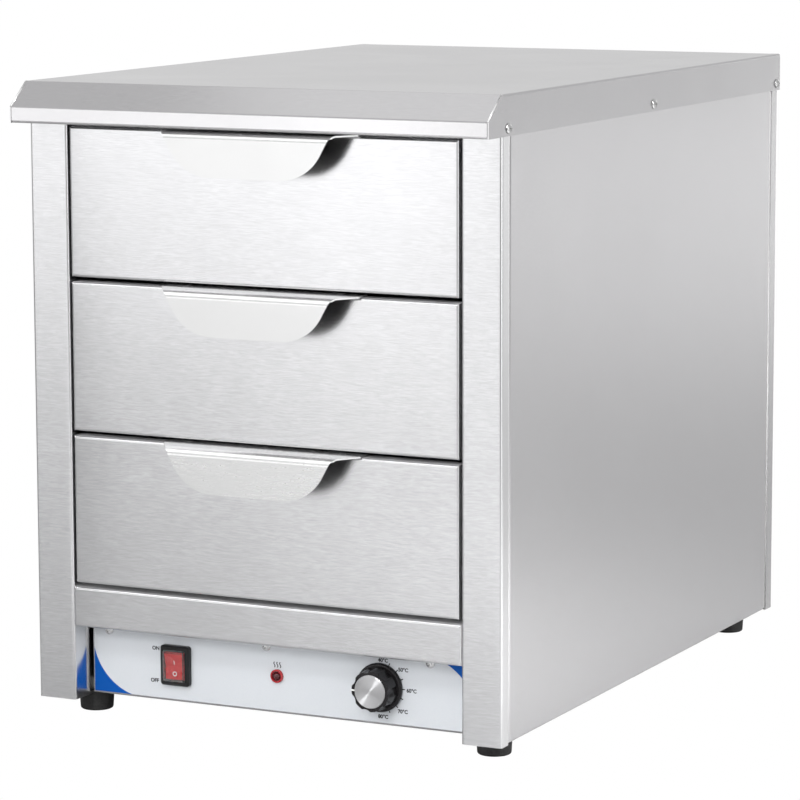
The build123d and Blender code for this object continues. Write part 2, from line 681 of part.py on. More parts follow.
def thermostat_spindle():
    """Spindle from the thermostat into the knob."""
    y0 = knob_face() - GRIP_HEIGHT + CAP_THICKNESS + KNOB_WEB
    end = PANEL_FACE + SHEET + THERMOSTAT_SIZE[1] / 2 - SPINDLE_END_GAP
    return rod_y(KNOB_X, CONTROL_Z, SPINDLE_RADIUS, y0, end)


def bulb_x():
    """X of the sensing bulb beside the element's right run."""
    return ELEMENT_X[-1] + BULB_BESIDE


def bulb_front():
    """Y of the bend where the capillary comes up through the floor."""
    return FRONT + CAPILLARY_HOLE


def thermostat_bulb():
    """Sensing bulb in the chamber, with the capillary that leads to the thermostat."""
    start_y = PANEL_FACE + SHEET + THERMOSTAT_SIZE[1]
    start_x = KNOB_X + CAPILLARY_EXIT[0]
    start_z = CONTROL_Z + CAPILLARY_EXIT[1]
    bulb_z = ELEMENT_Z + BULB_RISE
    bulb_start = bulb_front() + BULB_LEAD
    points = [
        (start_x, start_y, start_z),
        (start_x, bulb_front(), start_z),
        (bulb_x(), bulb_front(), start_z),
        (bulb_x(), bulb_front(), bulb_z),
        (bulb_x(), bulb_start, bulb_z),
    ]
    path = FilletPolyline(*points, radius=CAPILLARY_BEND)
    tube = sweep(Plane(origin=path @ 0, z_dir=path % 0) * Circle(CAPILLARY_RADIUS), path=path)
    bulb = rod_y(bulb_x(), bulb_z, BULB_RADIUS, bulb_start, bulb_start + BULB_LENGTH)
    return tube + bulb


# Knob
def knob_face():
    """Y of the front of the knob's skirt, where the grip starts."""
    return OVERLAY_FACE - KNOB_GAP - SKIRT_THICKNESS


def knob_grip():
    """Grip with rounded lobes, one of them the pointer at -X, narrowing to the front."""
    outline = Circle(GRIP_RADIUS)
    for index in range(LOBE_COUNT):
        angle = 180 + 360 * (index + 0.5) / LOBE_COUNT
        outline -= Rot(0, 0, angle) * Pos(SCALLOP_CENTRE, 0) * Circle(SCALLOP_RADIUS)
    outline = fillet(outline.vertices(), LOBE_ROUND)
    grip = loft([outline, Pos(0, 0, GRIP_HEIGHT) * scale(outline, GRIP_NARROWING)], ruled=True)
    return fillet(grip.faces().sort_by(Axis.Z)[-1].edges(), GRIP_ROUND)


def thermostat_knob():
    """Moulded knob: a round skirt and a fluted grip that narrows to the front."""
    skirt = Cylinder(SKIRT_RADIUS, SKIRT_THICKNESS, align=STAND)
    skirt = fillet(skirt.edges().sort_by(Axis.Z)[-1], SKIRT_THICKNESS / 2)
    knob = skirt + Pos(0, 0, SKIRT_THICKNESS) * knob_grip()
    top = SKIRT_THICKNESS + GRIP_HEIGHT
    knob -= Pos(0, 0, top - CAP_THICKNESS + CAP_PROUD) * Cylinder(CAP_RADIUS, CAP_THICKNESS, align=STAND)
    knob -= Cylinder(SPINDLE_RADIUS + SPINDLE_CLEARANCE, top - CAP_THICKNESS - KNOB_WEB, align=STAND)
    return Pos(KNOB_X, OVERLAY_FACE - KNOB_GAP, CONTROL_Z) * Rot(90, 0, 0) * knob


def knob_cap():
    """Spun aluminium disc let into the knob's face."""
    cap = Cylinder(CAP_RADIUS, CAP_THICKNESS, align=STAND)
    cap = chamfer(cap.edges().sort_by(Axis.Z)[-1], CAP_PROUD / 2)
    top = SKIRT_THICKNESS + GRIP_HEIGHT - CAP_THICKNESS + CAP_PROUD
    return Pos(KNOB_X, OVERLAY_FACE - KNOB_GAP - top, CONTROL_Z) * Rot(90, 0, 0) * cap


# Mains entry
def cable_gland():
    """Threaded gland in the rear panel: hexagon and tapered dome outside, thread inside."""
    hexagon = extrude(RegularPolygon(GLAND_HEX, 6), GLAND_HEX_LENGTH)
    reach = REAR + GLAND_REACH - REAR_FACE
    dome = Cone(GLAND_DOME_RADIUS, GLAND_TIP_RADIUS, reach - GLAND_HEX_LENGTH, align=STAND)
    dome = Pos(0, 0, GLAND_HEX_LENGTH) * dome
    thread = Pos(0, 0, -GLAND_INNER_LENGTH) * Cylinder(GLAND_THREAD, GLAND_INNER_LENGTH, align=STAND)
    gland = hexagon + dome + thread
    gland -= Pos(0, 0, -GLAND_INNER_LENGTH) * Cylinder(GLAND_BORE, GLAND_INNER_LENGTH + reach, align=STAND)
    return Pos(GLAND_X, REAR_FACE, GLAND_Z) * Rot(-90, 0, 0) * gland


def gland_nut():
    """Lock nut on the inside of the rear panel."""
    nut = extrude(RegularPolygon(GLAND_HEX, 6), GLAND_NUT_LENGTH)
    nut -= Cylinder(GLAND_THREAD, GLAND_NUT_LENGTH, align=STAND)
    return Pos(GLAND_X, REAR_FACE - SHEET - GLAND_NUT_LENGTH, GLAND_Z) * Rot(-90, 0, 0) * nut


def terminal_block():
    """Terminal block on the base plate, with a wire hole and a screw hole for each pole."""
    width, depth, height = BLOCK_SIZE
    low = FOOT_HEIGHT + SHEET
    y0 = FRONT + BLOCK_Y - depth / 2
    body = block(BLOCK_X - width / 2, BLOCK_X + width / 2, y0, y0 + depth, low, low + height)
    body = chamfer(body.faces().sort_by(Axis.Z)[-1].edges().filter_by(Axis.X), BLOCK_CHAMFER)
    for pole in range(BLOCK_POLES):
        x = BLOCK_X + (pole - (BLOCK_POLES - 1) / 2) * BLOCK_PITCH
        body -= rod_y(x, low + height / 2, BLOCK_WIRE_RADIUS, y0, y0 + depth)
        body -= rod_z(x, y0 + depth / 2, BLOCK_SCREW_RADIUS, low + height / 2, low + height)
    return body


# Drawers
def drawer_front(bottom):
    """Drawer front with its four edges folded back."""
    return Pos(0, FRONT, bottom) * folded_tray(DRAWER_WIDTH, DRAWER_HEIGHT, DRAWER_FOLD)


def drawer_frame(bottom):
    """Welded frame: a plate behind the front, two sides and a rear with a ledge for the pan."""
    face = FRONT + DRAWER_FOLD
    back = face + SHEET + FRAME_LENGTH
    foot_z = bottom + FRAME_FOOT
    ledge = bottom + FRAME_LEDGE
    half = DRAWER_WIDTH / 2
    frame = block(-half, half, face, face + SHEET, bottom, bottom + DRAWER_HEIGHT)
    rim_front = face + SHEET + PAN_SETBACK
    ledge_front = rim_front + PAN_RIM_ROUND
    ledge_back = rim_front + PAN_LENGTH - PAN_RIM_ROUND
    side = block(FRAME_HALF - SHEET, FRAME_HALF, face + SHEET, back, foot_z, ledge)
    side += block(
        FRAME_HALF, FRAME_HALF + FRAME_LEDGE_WIDTH, ledge_front, ledge_back, ledge - SHEET, ledge
    )
    side -= block(0, half, face + SHEET, rim_front + FRAME_CORNER_NOTCH, ledge - PAN_RIM_DROP, ledge)
    rear = block(-FRAME_HALF, FRAME_HALF, back - SHEET, back, foot_z, ledge)
    return frame + side + mirrored(side) + rear


def pan_well(inset, top):
    """Solid of the pan's well, drawn in by the given wall thickness, with its mouth at the given height."""
    width = PAN_WIDTH - 2 * PAN_RIM - 2 * inset
    length = PAN_LENGTH - 2 * PAN_RIM - 2 * inset
    mouth = RectangleRounded(width, length, PAN_CORNER - inset)
    sole = RectangleRounded(width - 2 * PAN_DRAFT, length - 2 * PAN_DRAFT, PAN_CORNER - PAN_DRAFT - inset)
    low = top - PAN_DEPTH + inset
    well = loft([Pos(0, 0, low) * sole, Pos(0, 0, top) * mouth])
    return fillet(well.faces().sort_by(Axis.Z)[0].edges(), PAN_BOTTOM_ROUND - inset)


def drawer_pan(bottom):
    """Pressed food pan with tapered walls and a turned-down rim that hangs on the frame's ledges."""
    top = bottom + FRAME_LEDGE + SHEET
    rim = Pos(0, 0, top - SHEET) * extrude(RectangleRounded(PAN_WIDTH, PAN_LENGTH, PAN_RIM_ROUND), SHEET)
    skirt = RectangleRounded(PAN_WIDTH, PAN_LENGTH, PAN_RIM_ROUND)
    skirt -= RectangleRounded(PAN_WIDTH - 2 * SHEET, PAN_LENGTH - 2 * SHEET, PAN_RIM_ROUND - SHEET)
    skirt = Pos(0, 0, top - PAN_RIM_DROP) * extrude(skirt, PAN_RIM_DROP)
    pan = rim + skirt + pan_well(0, top) - pan_well(SHEET, top)
    middle = FRONT + DRAWER_FOLD + SHEET + PAN_SETBACK + PAN_LENGTH / 2
    return Pos(0, middle, 0) * pan


def drawer_pull(bottom):
    """Folded sheet pull: a tapering flange on the drawer's top and a rounded plate that hangs in front."""
    low = bottom + DRAWER_HEIGHT
    top = low + PULL_SHEET
    face = FRONT - PULL_REACH
    section = Polygon(
        (FRONT + PULL_TAIL, top), (face, top), (face, low - PULL_DROP), (FRONT + PULL_TAIL, low - PULL_DROP),
        align=None,
    )
    section = fillet(section.vertices().sort_by(Axis.X)[:2].sort_by(Axis.Y)[-1:], PULL_BEND)
    inner = Polygon(
        (FRONT + 2 * PULL_TAIL, low),
        (face + PULL_SHEET, low),
        (face + PULL_SHEET, low - 2 * PULL_DROP),
        (FRONT + 2 * PULL_TAIL, low - 2 * PULL_DROP),
        align=None,
    )
    inner = fillet(inner.vertices().sort_by(Axis.X)[:2].sort_by(Axis.Y)[-1:], PULL_BEND - PULL_SHEET)
    blank = extrude(Plane.YZ * (section - inner), PULL_REAR_HALF, both=True)
    plan = Polygon(
        (-PULL_REAR_HALF, FRONT + PULL_TAIL),
        (-PULL_REAR_HALF, FRONT),
        (-PULL_FRONT_HALF, face),
        (PULL_FRONT_HALF, face),
        (PULL_REAR_HALF, FRONT),
        (PULL_REAR_HALF, FRONT + PULL_TAIL),
        align=None,
    )
    plan = fillet(plan.vertices().group_by(Axis.Y)[1], PULL_BEND)
    front = Polygon(
        (-PULL_REAR_HALF, top),
        (-PULL_REAR_HALF, low - PULL_SHEET),
        (-PULL_FRONT_HALF, low - PULL_SHEET),
        (-PULL_TIP_HALF, low - PULL_DROP),
        (PULL_TIP_HALF, low - PULL_DROP),
        (PULL_FRONT_HALF, low - PULL_SHEET),
        (PULL_REAR_HALF, low - PULL_SHEET),
        (PULL_REAR_HALF, top),
        align=None,
    )
    front = fillet(front.vertices().group_by(Axis.Y)[0], PULL_TIP_ROUND)
    pull = blank & extrude(plan, CABINET_HEIGHT) & extrude(Plane.XZ * front, OVERALL_DEPTH, both=True)
    for x in RIVET_X:
        pull -= rod_z(x, FRONT + RIVET_SETBACK, RIVET_RADIUS, low - PAST, top + PAST)
    return pull


def pull_rivets(bottom):
    """Rivets that hold the pull to the drawer's top fold."""
    seat = bottom + DRAWER_HEIGHT + PULL_SHEET
    rivet = dome_screw(RIVET_HEAD_RADIUS, RIVET_HEAD, RIVET_RADIUS, PULL_SHEET)
    return Compound([Pos(x, FRONT + RIVET_SETBACK, seat) * rivet for x in RIVET_X])


# Runners
def channel(half, depth, web_x, direction, y0, z):
    """Sheet channel along Y: its web starts at web_x and its flanges reach towards the given side."""
    tip = web_x + direction * depth
    web_inner = web_x + direction * RUNNER_SHEET
    near, far = sorted((web_x, tip))
    web_low, web_high = sorted((web_x, web_inner))
    bar = block(web_low, web_high, y0, y0 + RUNNER_LENGTH, z - half, z + half)
    bar += block(near, far, y0, y0 + RUNNER_LENGTH, z + half - RUNNER_SHEET, z + half)
    return bar + block(near, far, y0, y0 + RUNNER_LENGTH, z - half, z - half + RUNNER_SHEET)


def cabinet_runners(bottom):
    """Pair of channels on the chamber walls."""
    bar = channel(CHANNEL_HALF, CHANNEL_DEPTH, OPENING_HALF, -1, FRONT + RUNNER_FRONT, bottom + RUNNER_Z)
    return Compound([bar, mirrored(bar)])


def drawer_runners(bottom):
    """Pair of smaller channels on the drawer frame, nested in the cabinet's channels."""
    y0 = FRONT + DRAWER_FOLD + SHEET
    bar = channel(SLIDER_HALF, SLIDER_DEPTH, FRAME_HALF, 1, y0, bottom + RUNNER_Z)
    return Compound([bar, mirrored(bar)])


def runner_glides():
    """Nylon strips at the mouth of each cabinet channel, above and below the drawer's runner."""
    pads = []
    outer_x = OPENING_HALF - RUNNER_SHEET
    inner_x = OPENING_HALF - CHANNEL_DEPTH
    y0 = FRONT + RUNNER_FRONT
    for bottom in DRAWER_BOTTOMS.values():
        z = bottom + RUNNER_Z
        low = CHANNEL_HALF - RUNNER_SHEET
        thickness = low - SLIDER_HALF - GLIDE_CLEARANCE
        for z0 in (z - low, z + low - thickness):
            pad = block(inner_x, outer_x, y0, y0 + GLIDE_LENGTH, z0, z0 + thickness)
            pads += [pad, mirrored(pad)]
    return Compound(pads)


def build_nodes():
    """Every separate piece by its node name."""
    post = front_post()
    side = side_panel()
    wall = liner_wall()
    feet = [Pos(x, y, 0) * foot() for x, y in foot_places()]
    foot_screws = [Pos(x, y, 0) * foot_screw() for x, y in foot_places()]
    nodes = {
        "lid": lid(),
        "lid_screws": lid_screws(),
        "left_side_panel": mirrored(side),
        "right_side_panel": side,
        "rear_panel": rear_panel(),
        "base_plate": base_plate(),
        "left_front_post": mirrored(post),
        "right_front_post": post,
        "top_rail": cross_rail(TOP_RAIL_BOTTOM, LID_UNDERSIDE - TOP_RAIL_BOTTOM),
        "lower_rail": cross_rail(LOWER_RAIL_BOTTOM, LOWER_RAIL_HEIGHT),
        "left_liner_wall": mirrored(wall),
        "right_liner_wall": wall,
        "chamber_ceiling": chamber_ceiling(),
        "chamber_back": chamber_back(),
        "chamber_floor": chamber_floor(),
        "insulation_pads": insulation_pads(),
        "heating_element": heating_element(),
        "element_cradles": element_cradles(),
        "control_panel": control_panel(),
        "panel_overlay": panel_overlay(),
        "panel_screws": panel_screws(),
        "switch_housing": switch_housing(),
        "switch_hood": switch_hood(),
        "switch_rocker": switch_rocker(),
        "switch_terminals": switch_terminals(),
        "pilot_lamp_lens": lamp_lens(),
        "pilot_lamp_body": lamp_body(),
        "thermostat_body": thermostat_body(),
        "thermostat_spindle": thermostat_spindle(),
        "thermostat_bulb": thermostat_bulb(),
        "thermostat_knob": thermostat_knob(),
        "knob_cap": knob_cap(),
        "cable_gland": cable_gland(),
        "gland_nut": gland_nut(),
        "terminal_block": terminal_block(),
        "feet": Compound(feet),
        "foot_screws": Compound(foot_screws),
        "runner_glides": runner_glides(),
    }
    for name, bottom in DRAWER_BOTTOMS.items():
        nodes[f"{name}_cabinet_runners"] = cabinet_runners(bottom)
        nodes[f"{name}_drawer_front"] = drawer_front(bottom)
        nodes[f"{name}_drawer_frame"] = drawer_frame(bottom)
        nodes[f"{name}_drawer_pan"] = drawer_pan(bottom)
        nodes[f"{name}_drawer_pull"] = drawer_pull(bottom)
        nodes[f"{name}_pull_rivets"] = pull_rivets(bottom)
        nodes[f"{name}_drawer_runners"] = drawer_runners(bottom)
    return nodes


os.makedirs("parts", exist_ok=True)
for node_name, node_shape in build_nodes().items():
    export_step(node_shape, f"parts/{node_name}.step")
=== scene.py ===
# %% [markdown]
# # A countertop warming cabinet with three drawers
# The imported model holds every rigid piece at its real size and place, so this lesson never moves
# or reshapes one. It gives each piece its finish, adds the printed marks and the small fasteners,
# and sets up a plain studio with the camera where the photographer stood.

# %% Load the frame
import json
import math

import bmesh
import bpy
from mathutils import Matrix, Vector


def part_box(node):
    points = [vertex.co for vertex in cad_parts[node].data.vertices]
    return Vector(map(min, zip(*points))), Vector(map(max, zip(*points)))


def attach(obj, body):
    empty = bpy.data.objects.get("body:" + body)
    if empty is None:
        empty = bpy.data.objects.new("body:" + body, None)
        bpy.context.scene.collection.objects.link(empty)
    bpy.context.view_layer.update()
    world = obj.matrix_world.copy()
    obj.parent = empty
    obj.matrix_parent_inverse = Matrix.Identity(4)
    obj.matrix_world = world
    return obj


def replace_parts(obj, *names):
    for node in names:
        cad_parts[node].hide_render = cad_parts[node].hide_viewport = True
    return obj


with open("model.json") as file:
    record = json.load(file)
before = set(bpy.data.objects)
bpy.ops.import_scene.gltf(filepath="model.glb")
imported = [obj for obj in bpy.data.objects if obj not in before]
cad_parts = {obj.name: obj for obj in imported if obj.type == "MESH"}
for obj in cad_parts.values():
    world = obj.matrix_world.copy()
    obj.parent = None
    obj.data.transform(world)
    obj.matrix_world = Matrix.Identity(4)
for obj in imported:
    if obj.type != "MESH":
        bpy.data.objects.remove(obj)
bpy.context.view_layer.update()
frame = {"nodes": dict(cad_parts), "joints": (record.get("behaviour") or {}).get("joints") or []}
nodes = frame["nodes"]
joints = {joint["name"]: joint for joint in frame["joints"]}
scene = bpy.context.scene

# %% [markdown]
# ## The camera
# A long lens far away gives the calm, almost parallel edges of a catalogue picture. The numbers
# come from matching the cabinet's corners with their places in the picture: the camera stands to
# the right of the cabinet and a little above its lid. Lens shift stays at zero, so that the same
# camera can walk round the object.

# %% Camera
LENS = 164.9  # millimetres, like the sensor's width
SENSOR_WIDTH = 36.0
CAMERA_PLACE = (1.3011, -2.6831, 0.6769)
CAMERA_YAW = math.radians(26.21)
CAMERA_PITCH = math.radians(-8.59)
CAMERA_ROLL = math.radians(-0.17)

camera = bpy.data.objects.new("camera", bpy.data.cameras.new("camera"))
camera.data.lens = LENS
camera.data.sensor_width = SENSOR_WIDTH
camera.matrix_world = (
    Matrix.Translation(CAMERA_PLACE)
    @ Matrix.Rotation(CAMERA_YAW, 4, "Z")
    @ Matrix.Rotation(math.pi / 2 + CAMERA_PITCH, 4, "X")
    @ Matrix.Rotation(CAMERA_ROLL, 4, "Z")
)
scene.collection.objects.link(camera)
scene.camera = camera
scene.view_settings.view_transform = "Standard"
print("camera at", [round(value, 3) for value in camera.location])

# %% [markdown]
# ## Small helpers for node trees
# The room, the floor and every finish are a few nodes in front of one shader. The first helpers
# start a material, with the sockets that are the same all over, and link what changes over the
# surface to its shader.

# %% Start and dress a material
def rgba(colour):
    """A colour with full alpha."""
    return (*colour, 1.0)


def grey(tone):
    """A neutral colour."""
    return (tone, tone, tone)


def start_material(name, plain=None):
    """A new material with its tree and its shader; plain gives sockets their one value."""
    material = bpy.data.materials.new(name)
    material.use_nodes = True
    shader = material.node_tree.nodes["Principled BSDF"]
    for socket, value in (plain or {}).items():
        shader.inputs[socket].default_value = value
    return material, material.node_tree, shader


def dress(tree, shader, tone=None, roughness=None, normal=None):
    """Links what changes over the surface to the shader."""
    for socket, source in (("Base Color", tone), ("Roughness", roughness), ("Normal", normal)):
        if source is not None:
            tree.links.new(source, shader.inputs[socket])


def feed(tree, slot, value):
    """Gives an input a plain value, or links it to the output of another node."""
    if isinstance(value, bpy.types.NodeSocket):
        tree.links.new(value, slot)
    else:
        slot.default_value = value


print("a grey of 0.5 is", rgba(grey(0.5)))

# %% [markdown]
# The next helpers place the nodes that calculate. Each returns an output, so one can be written
# inside the other, as in a formula.

# %% Nodes that calculate
def split_axes(tree, vector):
    """The X, Y and Z of a vector."""
    node = tree.nodes.new("ShaderNodeSeparateXYZ")
    tree.links.new(vector, node.inputs[0])
    return node.outputs


def remap(tree, source, low, high, start=0.0, end=1.0):
    """Stretches a value from start..end to low..high."""
    node = tree.nodes.new("ShaderNodeMapRange")
    limits = {"From Min": start, "From Max": end, "To Min": low, "To Max": high}
    for socket, value in limits.items():
        node.inputs[socket].default_value = value
    tree.links.new(source, node.inputs["Value"])
    return node.outputs[0]


def calculation(tree, kind, operation, values):
    """A Math or Vector Math node; each value is a socket or a plain value."""
    node = tree.nodes.new(kind)
    node.operation = operation
    for slot, value in zip(node.inputs, values):
        feed(tree, slot, value)
    return node.outputs


def math_node(tree, operation, *values):
    """The number that a Math node gives."""
    return calculation(tree, "ShaderNodeMath", operation, values)[0]


def vector_node(tree, operation, *values):
    """The vector that a Vector Math node gives."""
    return calculation(tree, "ShaderNodeVectorMath", operation, values)["Vector"]


def mix_colours(tree, factor, first, second):
    """Mixes two colours, each a socket or a plain colour, by a mask."""
    node = tree.nodes.new("ShaderNodeMix")
    node.data_type = "RGBA"
    tree.links.new(factor, node.inputs[0])
    for slot, value in zip(node.inputs[6:8], (first, second)):  # the node's two colours
        feed(tree, slot, rgba(value) if isinstance(value, tuple) else value)
    return node.outputs[2]


print("calculating helpers ready")

# %% [markdown]
# The last helpers make patterns and share them. Every pattern reads Object coordinates, so it
# stays on its piece when a drawer slides out. A noise rarely leaves the middle of its range, so it
# is stretched to full contrast.

# %% Nodes that make patterns
NOISE_LOW = 0.3
NOISE_HIGH = 0.7
FLOAT = "NodeSocketFloat"
VECTOR = "NodeSocketVector"


def object_place(tree):
    """Object coordinates: where a point lies on its own piece."""
    return tree.nodes.new("ShaderNodeTexCoord").outputs["Object"]


def full_contrast(tree, noise):
    """Stretches a noise to the whole range from 0 to 1."""
    return remap(tree, noise, 0.0, 1.0, NOISE_LOW, NOISE_HIGH)


def noise_mask(tree, place, scale, detail=2.0, roughness=0.5, distortion=0.0):
    """A noise with full contrast, read at a place."""
    node = tree.nodes.new("ShaderNodeTexNoise")
    node.inputs["Detail"].default_value = detail
    node.inputs["Roughness"].default_value = roughness
    node.inputs["Distortion"].default_value = distortion
    feed(tree, node.inputs["Scale"], scale)
    tree.links.new(place, node.inputs["Vector"])
    return full_contrast(tree, node.outputs["Fac"])


def stretched_noise(tree, scale, detail, roughness):
    """A noise with its own scale along X, Y and Z, per metre."""
    mapping = tree.nodes.new("ShaderNodeMapping")
    mapping.inputs["Scale"].default_value = scale
    tree.links.new(object_place(tree), mapping.inputs["Vector"])
    return noise_mask(tree, mapping.outputs[0], 1.0, detail, roughness)


def bump_normal(tree, height, distance, strength=1.0):
    """The normal of a surface whose height follows a mask."""
    node = tree.nodes.new("ShaderNodeBump")
    node.inputs["Distance"].default_value = distance
    feed(tree, node.inputs["Strength"], strength)
    tree.links.new(height, node.inputs["Height"])
    return node.outputs[0]


def start_group(name, inputs, outputs):
    """A node group with float inputs and the given outputs."""
    group = bpy.data.node_groups.new(name, "ShaderNodeTree")
    for socket, value in inputs.items():
        made = group.interface.new_socket(name=socket, in_out="INPUT", socket_type=FLOAT)
        made.default_value = value
    for socket, kind in outputs.items():
        group.interface.new_socket(name=socket, in_out="OUTPUT", socket_type=kind)
    return group, group.nodes.new("NodeGroupInput").outputs


def close_group(group, results):
    """Links the results to the outputs of a group."""
    leave = group.nodes.new("NodeGroupOutput")
    for socket, source in results.items():
        group.links.new(source, leave.inputs[socket])
    return group


def place_group(tree, group, values):
    """Puts a shared effect into a material, with its own values."""
    node = tree.nodes.new("ShaderNodeGroup")
    node.node_tree = group
    for socket, value in values.items():
        node.inputs[socket].default_value = value
    return node.outputs


print("pattern helpers ready")

# %% [markdown]
# ## The studio
# Steel shows its surroundings more than itself, so the studio is really part of the finish. A pale
# room, a little darker on the right, gives the even grey of the lid, and a grey floor darkens what
# the lower drawers mirror. The camera itself sees white paper instead of both.

# %% Room and floor
HORIZON_TONE = 0.93
ZENITH_TONE = 0.7
SIDE_FALL = 0.2  # how much darker the room is on its right
FLOOR_TONE = 0.44
FLOOR_HALF = 7.0


def camera_sees(tree, paper, studio, surface):
    """Shows paper to the camera, and the studio to every other ray."""
    ray = tree.nodes.new("ShaderNodeLightPath")
    choose = tree.nodes.new("ShaderNodeMixShader")
    tree.links.new(ray.outputs["Is Camera Ray"], choose.inputs[0])
    tree.links.new(studio.outputs[0], choose.inputs[1])
    tree.links.new(paper.outputs[0], choose.inputs[2])
    tree.links.new(choose.outputs[0], surface)


def pale_room():
    """World light: pale at the horizon, greyer overhead and to the right."""
    world = bpy.data.worlds.new("pale_room")
    world.use_nodes = True
    tree = world.node_tree
    tree.nodes.clear()
    direction = split_axes(tree, tree.nodes.new("ShaderNodeTexCoord").outputs["Generated"])
    height = remap(tree, direction["Z"], HORIZON_TONE, ZENITH_TONE)
    tone = math_node(tree, "MULTIPLY_ADD", direction["X"], -SIDE_FALL, height)
    room = tree.nodes.new("ShaderNodeBackground")
    tree.links.new(tone, room.inputs["Strength"])
    backdrop = tree.nodes.new("ShaderNodeBackground")
    backdrop.inputs["Color"].default_value = rgba(grey(1.0))
    output = tree.nodes.new("ShaderNodeOutputWorld")
    camera_sees(tree, backdrop, room, output.inputs["Surface"])
    scene.world = world


def pale_floor():
    """Matt grey floor for every reflection."""
    bm = bmesh.new()
    bmesh.ops.create_grid(bm, x_segments=1, y_segments=1, size=FLOOR_HALF)
    mesh = bpy.data.meshes.new("floor")
    bm.to_mesh(mesh)
    bm.free()
    floor = bpy.data.objects.new("floor", mesh)
    scene.collection.objects.link(floor)
    matt = {"Base Color": rgba(grey(FLOOR_TONE)), "Roughness": 0.9, "Specular IOR Level": 0.1}
    material, tree, shader = start_material("pale_floor", matt)
    paper = tree.nodes.new("ShaderNodeEmission")
    camera_sees(tree, paper, shader, tree.nodes["Material Output"].inputs["Surface"])
    mesh.materials.append(material)


pale_room()
pale_floor()
print("room", scene.world.name, "and a floor of", 2 * FLOOR_HALF, "m")

# %% [markdown]
# ## The lights
# Low softboxes in front fill the upper drawers with white, and because they end at the floor, the
# lower drawers mirror the floor and turn darker. Three lamps over that floor make bright pools,
# which the lower drawers and the side panel mirror as soft gradients. The overhead softbox shows
# in the sloped front of the lid, and two at the far right light the floor that the upper part of
# the side panel mirrors. The bend, right and back softboxes only show as bright lines along bends.
# One small lamp gives the plastic pieces their highlights, and one wide lamp shows as two wedges
# in the knob's cap.
#
# Lamps that steel should not mirror are hidden from glossy rays: they still light the floor and
# the print. The bend softbox and the wedge lamp are the opposite, mirror images that light
# nothing. Light linking keeps strong lamps off the lid, which would turn white when the camera
# walks round, and keeps the wedge lamp to the cap.

# %% Softboxes
BACKWARDS = (0.0, 1.0, 0.0)  # the ways that a softbox faces
FORWARDS = (0.0, -1.0, 0.0)
DOWN = (0.0, 0.0, -1.0)


def softbox(name, place, facing, size, radiance, mirrored=True, lights=True, only=(), spared=()):
    """Rectangular lamp, with its power worked out from its brightness. Only and spared name the
    nodes that it reaches, or does not reach."""
    light = bpy.data.lights.new(name, "AREA")
    light.shape = "RECTANGLE"
    light.size, light.size_y = size
    light.energy = radiance * math.pi * size[0] * size[1]
    lamp = bpy.data.objects.new(name, light)
    aim = Vector(facing).to_track_quat("-Z", "Y")
    lamp.matrix_world = Matrix.Translation(place) @ aim.to_matrix().to_4x4()
    lamp.visible_camera = False
    lamp.visible_glossy = mirrored
    lamp.visible_diffuse = lights
    if only or spared:
        linked = bpy.data.collections.new(name)
        for node in only or spared:
            linked.objects.link(nodes[node])
        for link in linked.collection_objects:
            link.light_linking.link_state = "EXCLUDE" if spared else "INCLUDE"
        lamp.light_linking.receiver_collection = linked
    scene.collection.objects.link(lamp)


softbox("front_softbox", (-1.87, -2.5, 0.4), BACKWARDS, (2.06, 0.8), 1.08)
softbox("fill_softbox", (-0.12, -2.5, 0.4), BACKWARDS, (1.44, 0.8), 0.78)
softbox("strip_softbox", (-1.0, -2.45, 0.4), BACKWARDS, (0.26, 0.8), 0.2)
softbox("upper_softbox", (-0.9, -2.5, 1.35), BACKWARDS, (3.0, 1.1), 0.87, mirrored=False)
softbox(
    "bend_softbox", (-0.87, -1.3, 1.75), (0.87, 1.0, -1.4), (1.8, 1.0), 1.6,
    lights=False, spared=["lid"],
)
softbox("overhead_softbox", (0.2, 0.2, 2.4), DOWN, (2.6, 2.2), 0.31)
softbox("right_softbox", (2.2, -0.85, 0.6), (-2.0, 0.55, -0.3), (1.0, 1.2), 2.0)
softbox("rear_softbox", (2.3, 3.9, 1.7), DOWN, (3.2, 5.2), 2.6, mirrored=False)
softbox("far_rear_softbox", (2.9, 6.7, 1.2), DOWN, (2.4, 2.2), 1.4, mirrored=False)
softbox("back_softbox", (0.2, 3.2, 0.5), FORWARDS, (1.6, 1.0), 1.5)
softbox(
    "small_key_lamp", (0.35, -1.75, 1.75), (-0.3, 1.5, -1.65), (0.35, 0.35), 35.0, spared=["lid"]
)
softbox(
    "wedge_lamp", (0.95, -1.75, 1.75), (-0.9, 1.5, -1.65), (1.1, 0.35), 36.0,
    lights=False, only=["knob_cap"],
)
softbox("near_floor_lamp", (0.08, -1.12, 0.45), DOWN, (0.5, 0.5), 7.4, mirrored=False)
softbox("far_floor_lamp", (-0.56, -2.05, 0.5), DOWN, (0.7, 0.4), 7.6, mirrored=False)
softbox("side_floor_lamp", (0.75, -0.15, 0.5), DOWN, (0.5, 0.6), 10.6, mirrored=False)

# %% [markdown]
# ## Three shared effects
# Brushed sheet, soft smudges and a fine moulded mottle turn up on many pieces, so each is a node
# group. The brushing is a noise that is stretched along the grain. A sheet keeps its grain when it
# is folded: it runs along X on the front and the top, and along Y on every face that looks to the
# side, so the group picks the direction from the surface normal. It also tells which way a face
# looks, for finishes that treat folds differently.

# %% Brushing
SIDE_LOOK = 0.7  # how far a normal turns before its face counts as a side, a back or a top
BACK_LOOK = 0.3
TOP_LOOK = 0.85
GRAIN_RELIEF = 0.0001


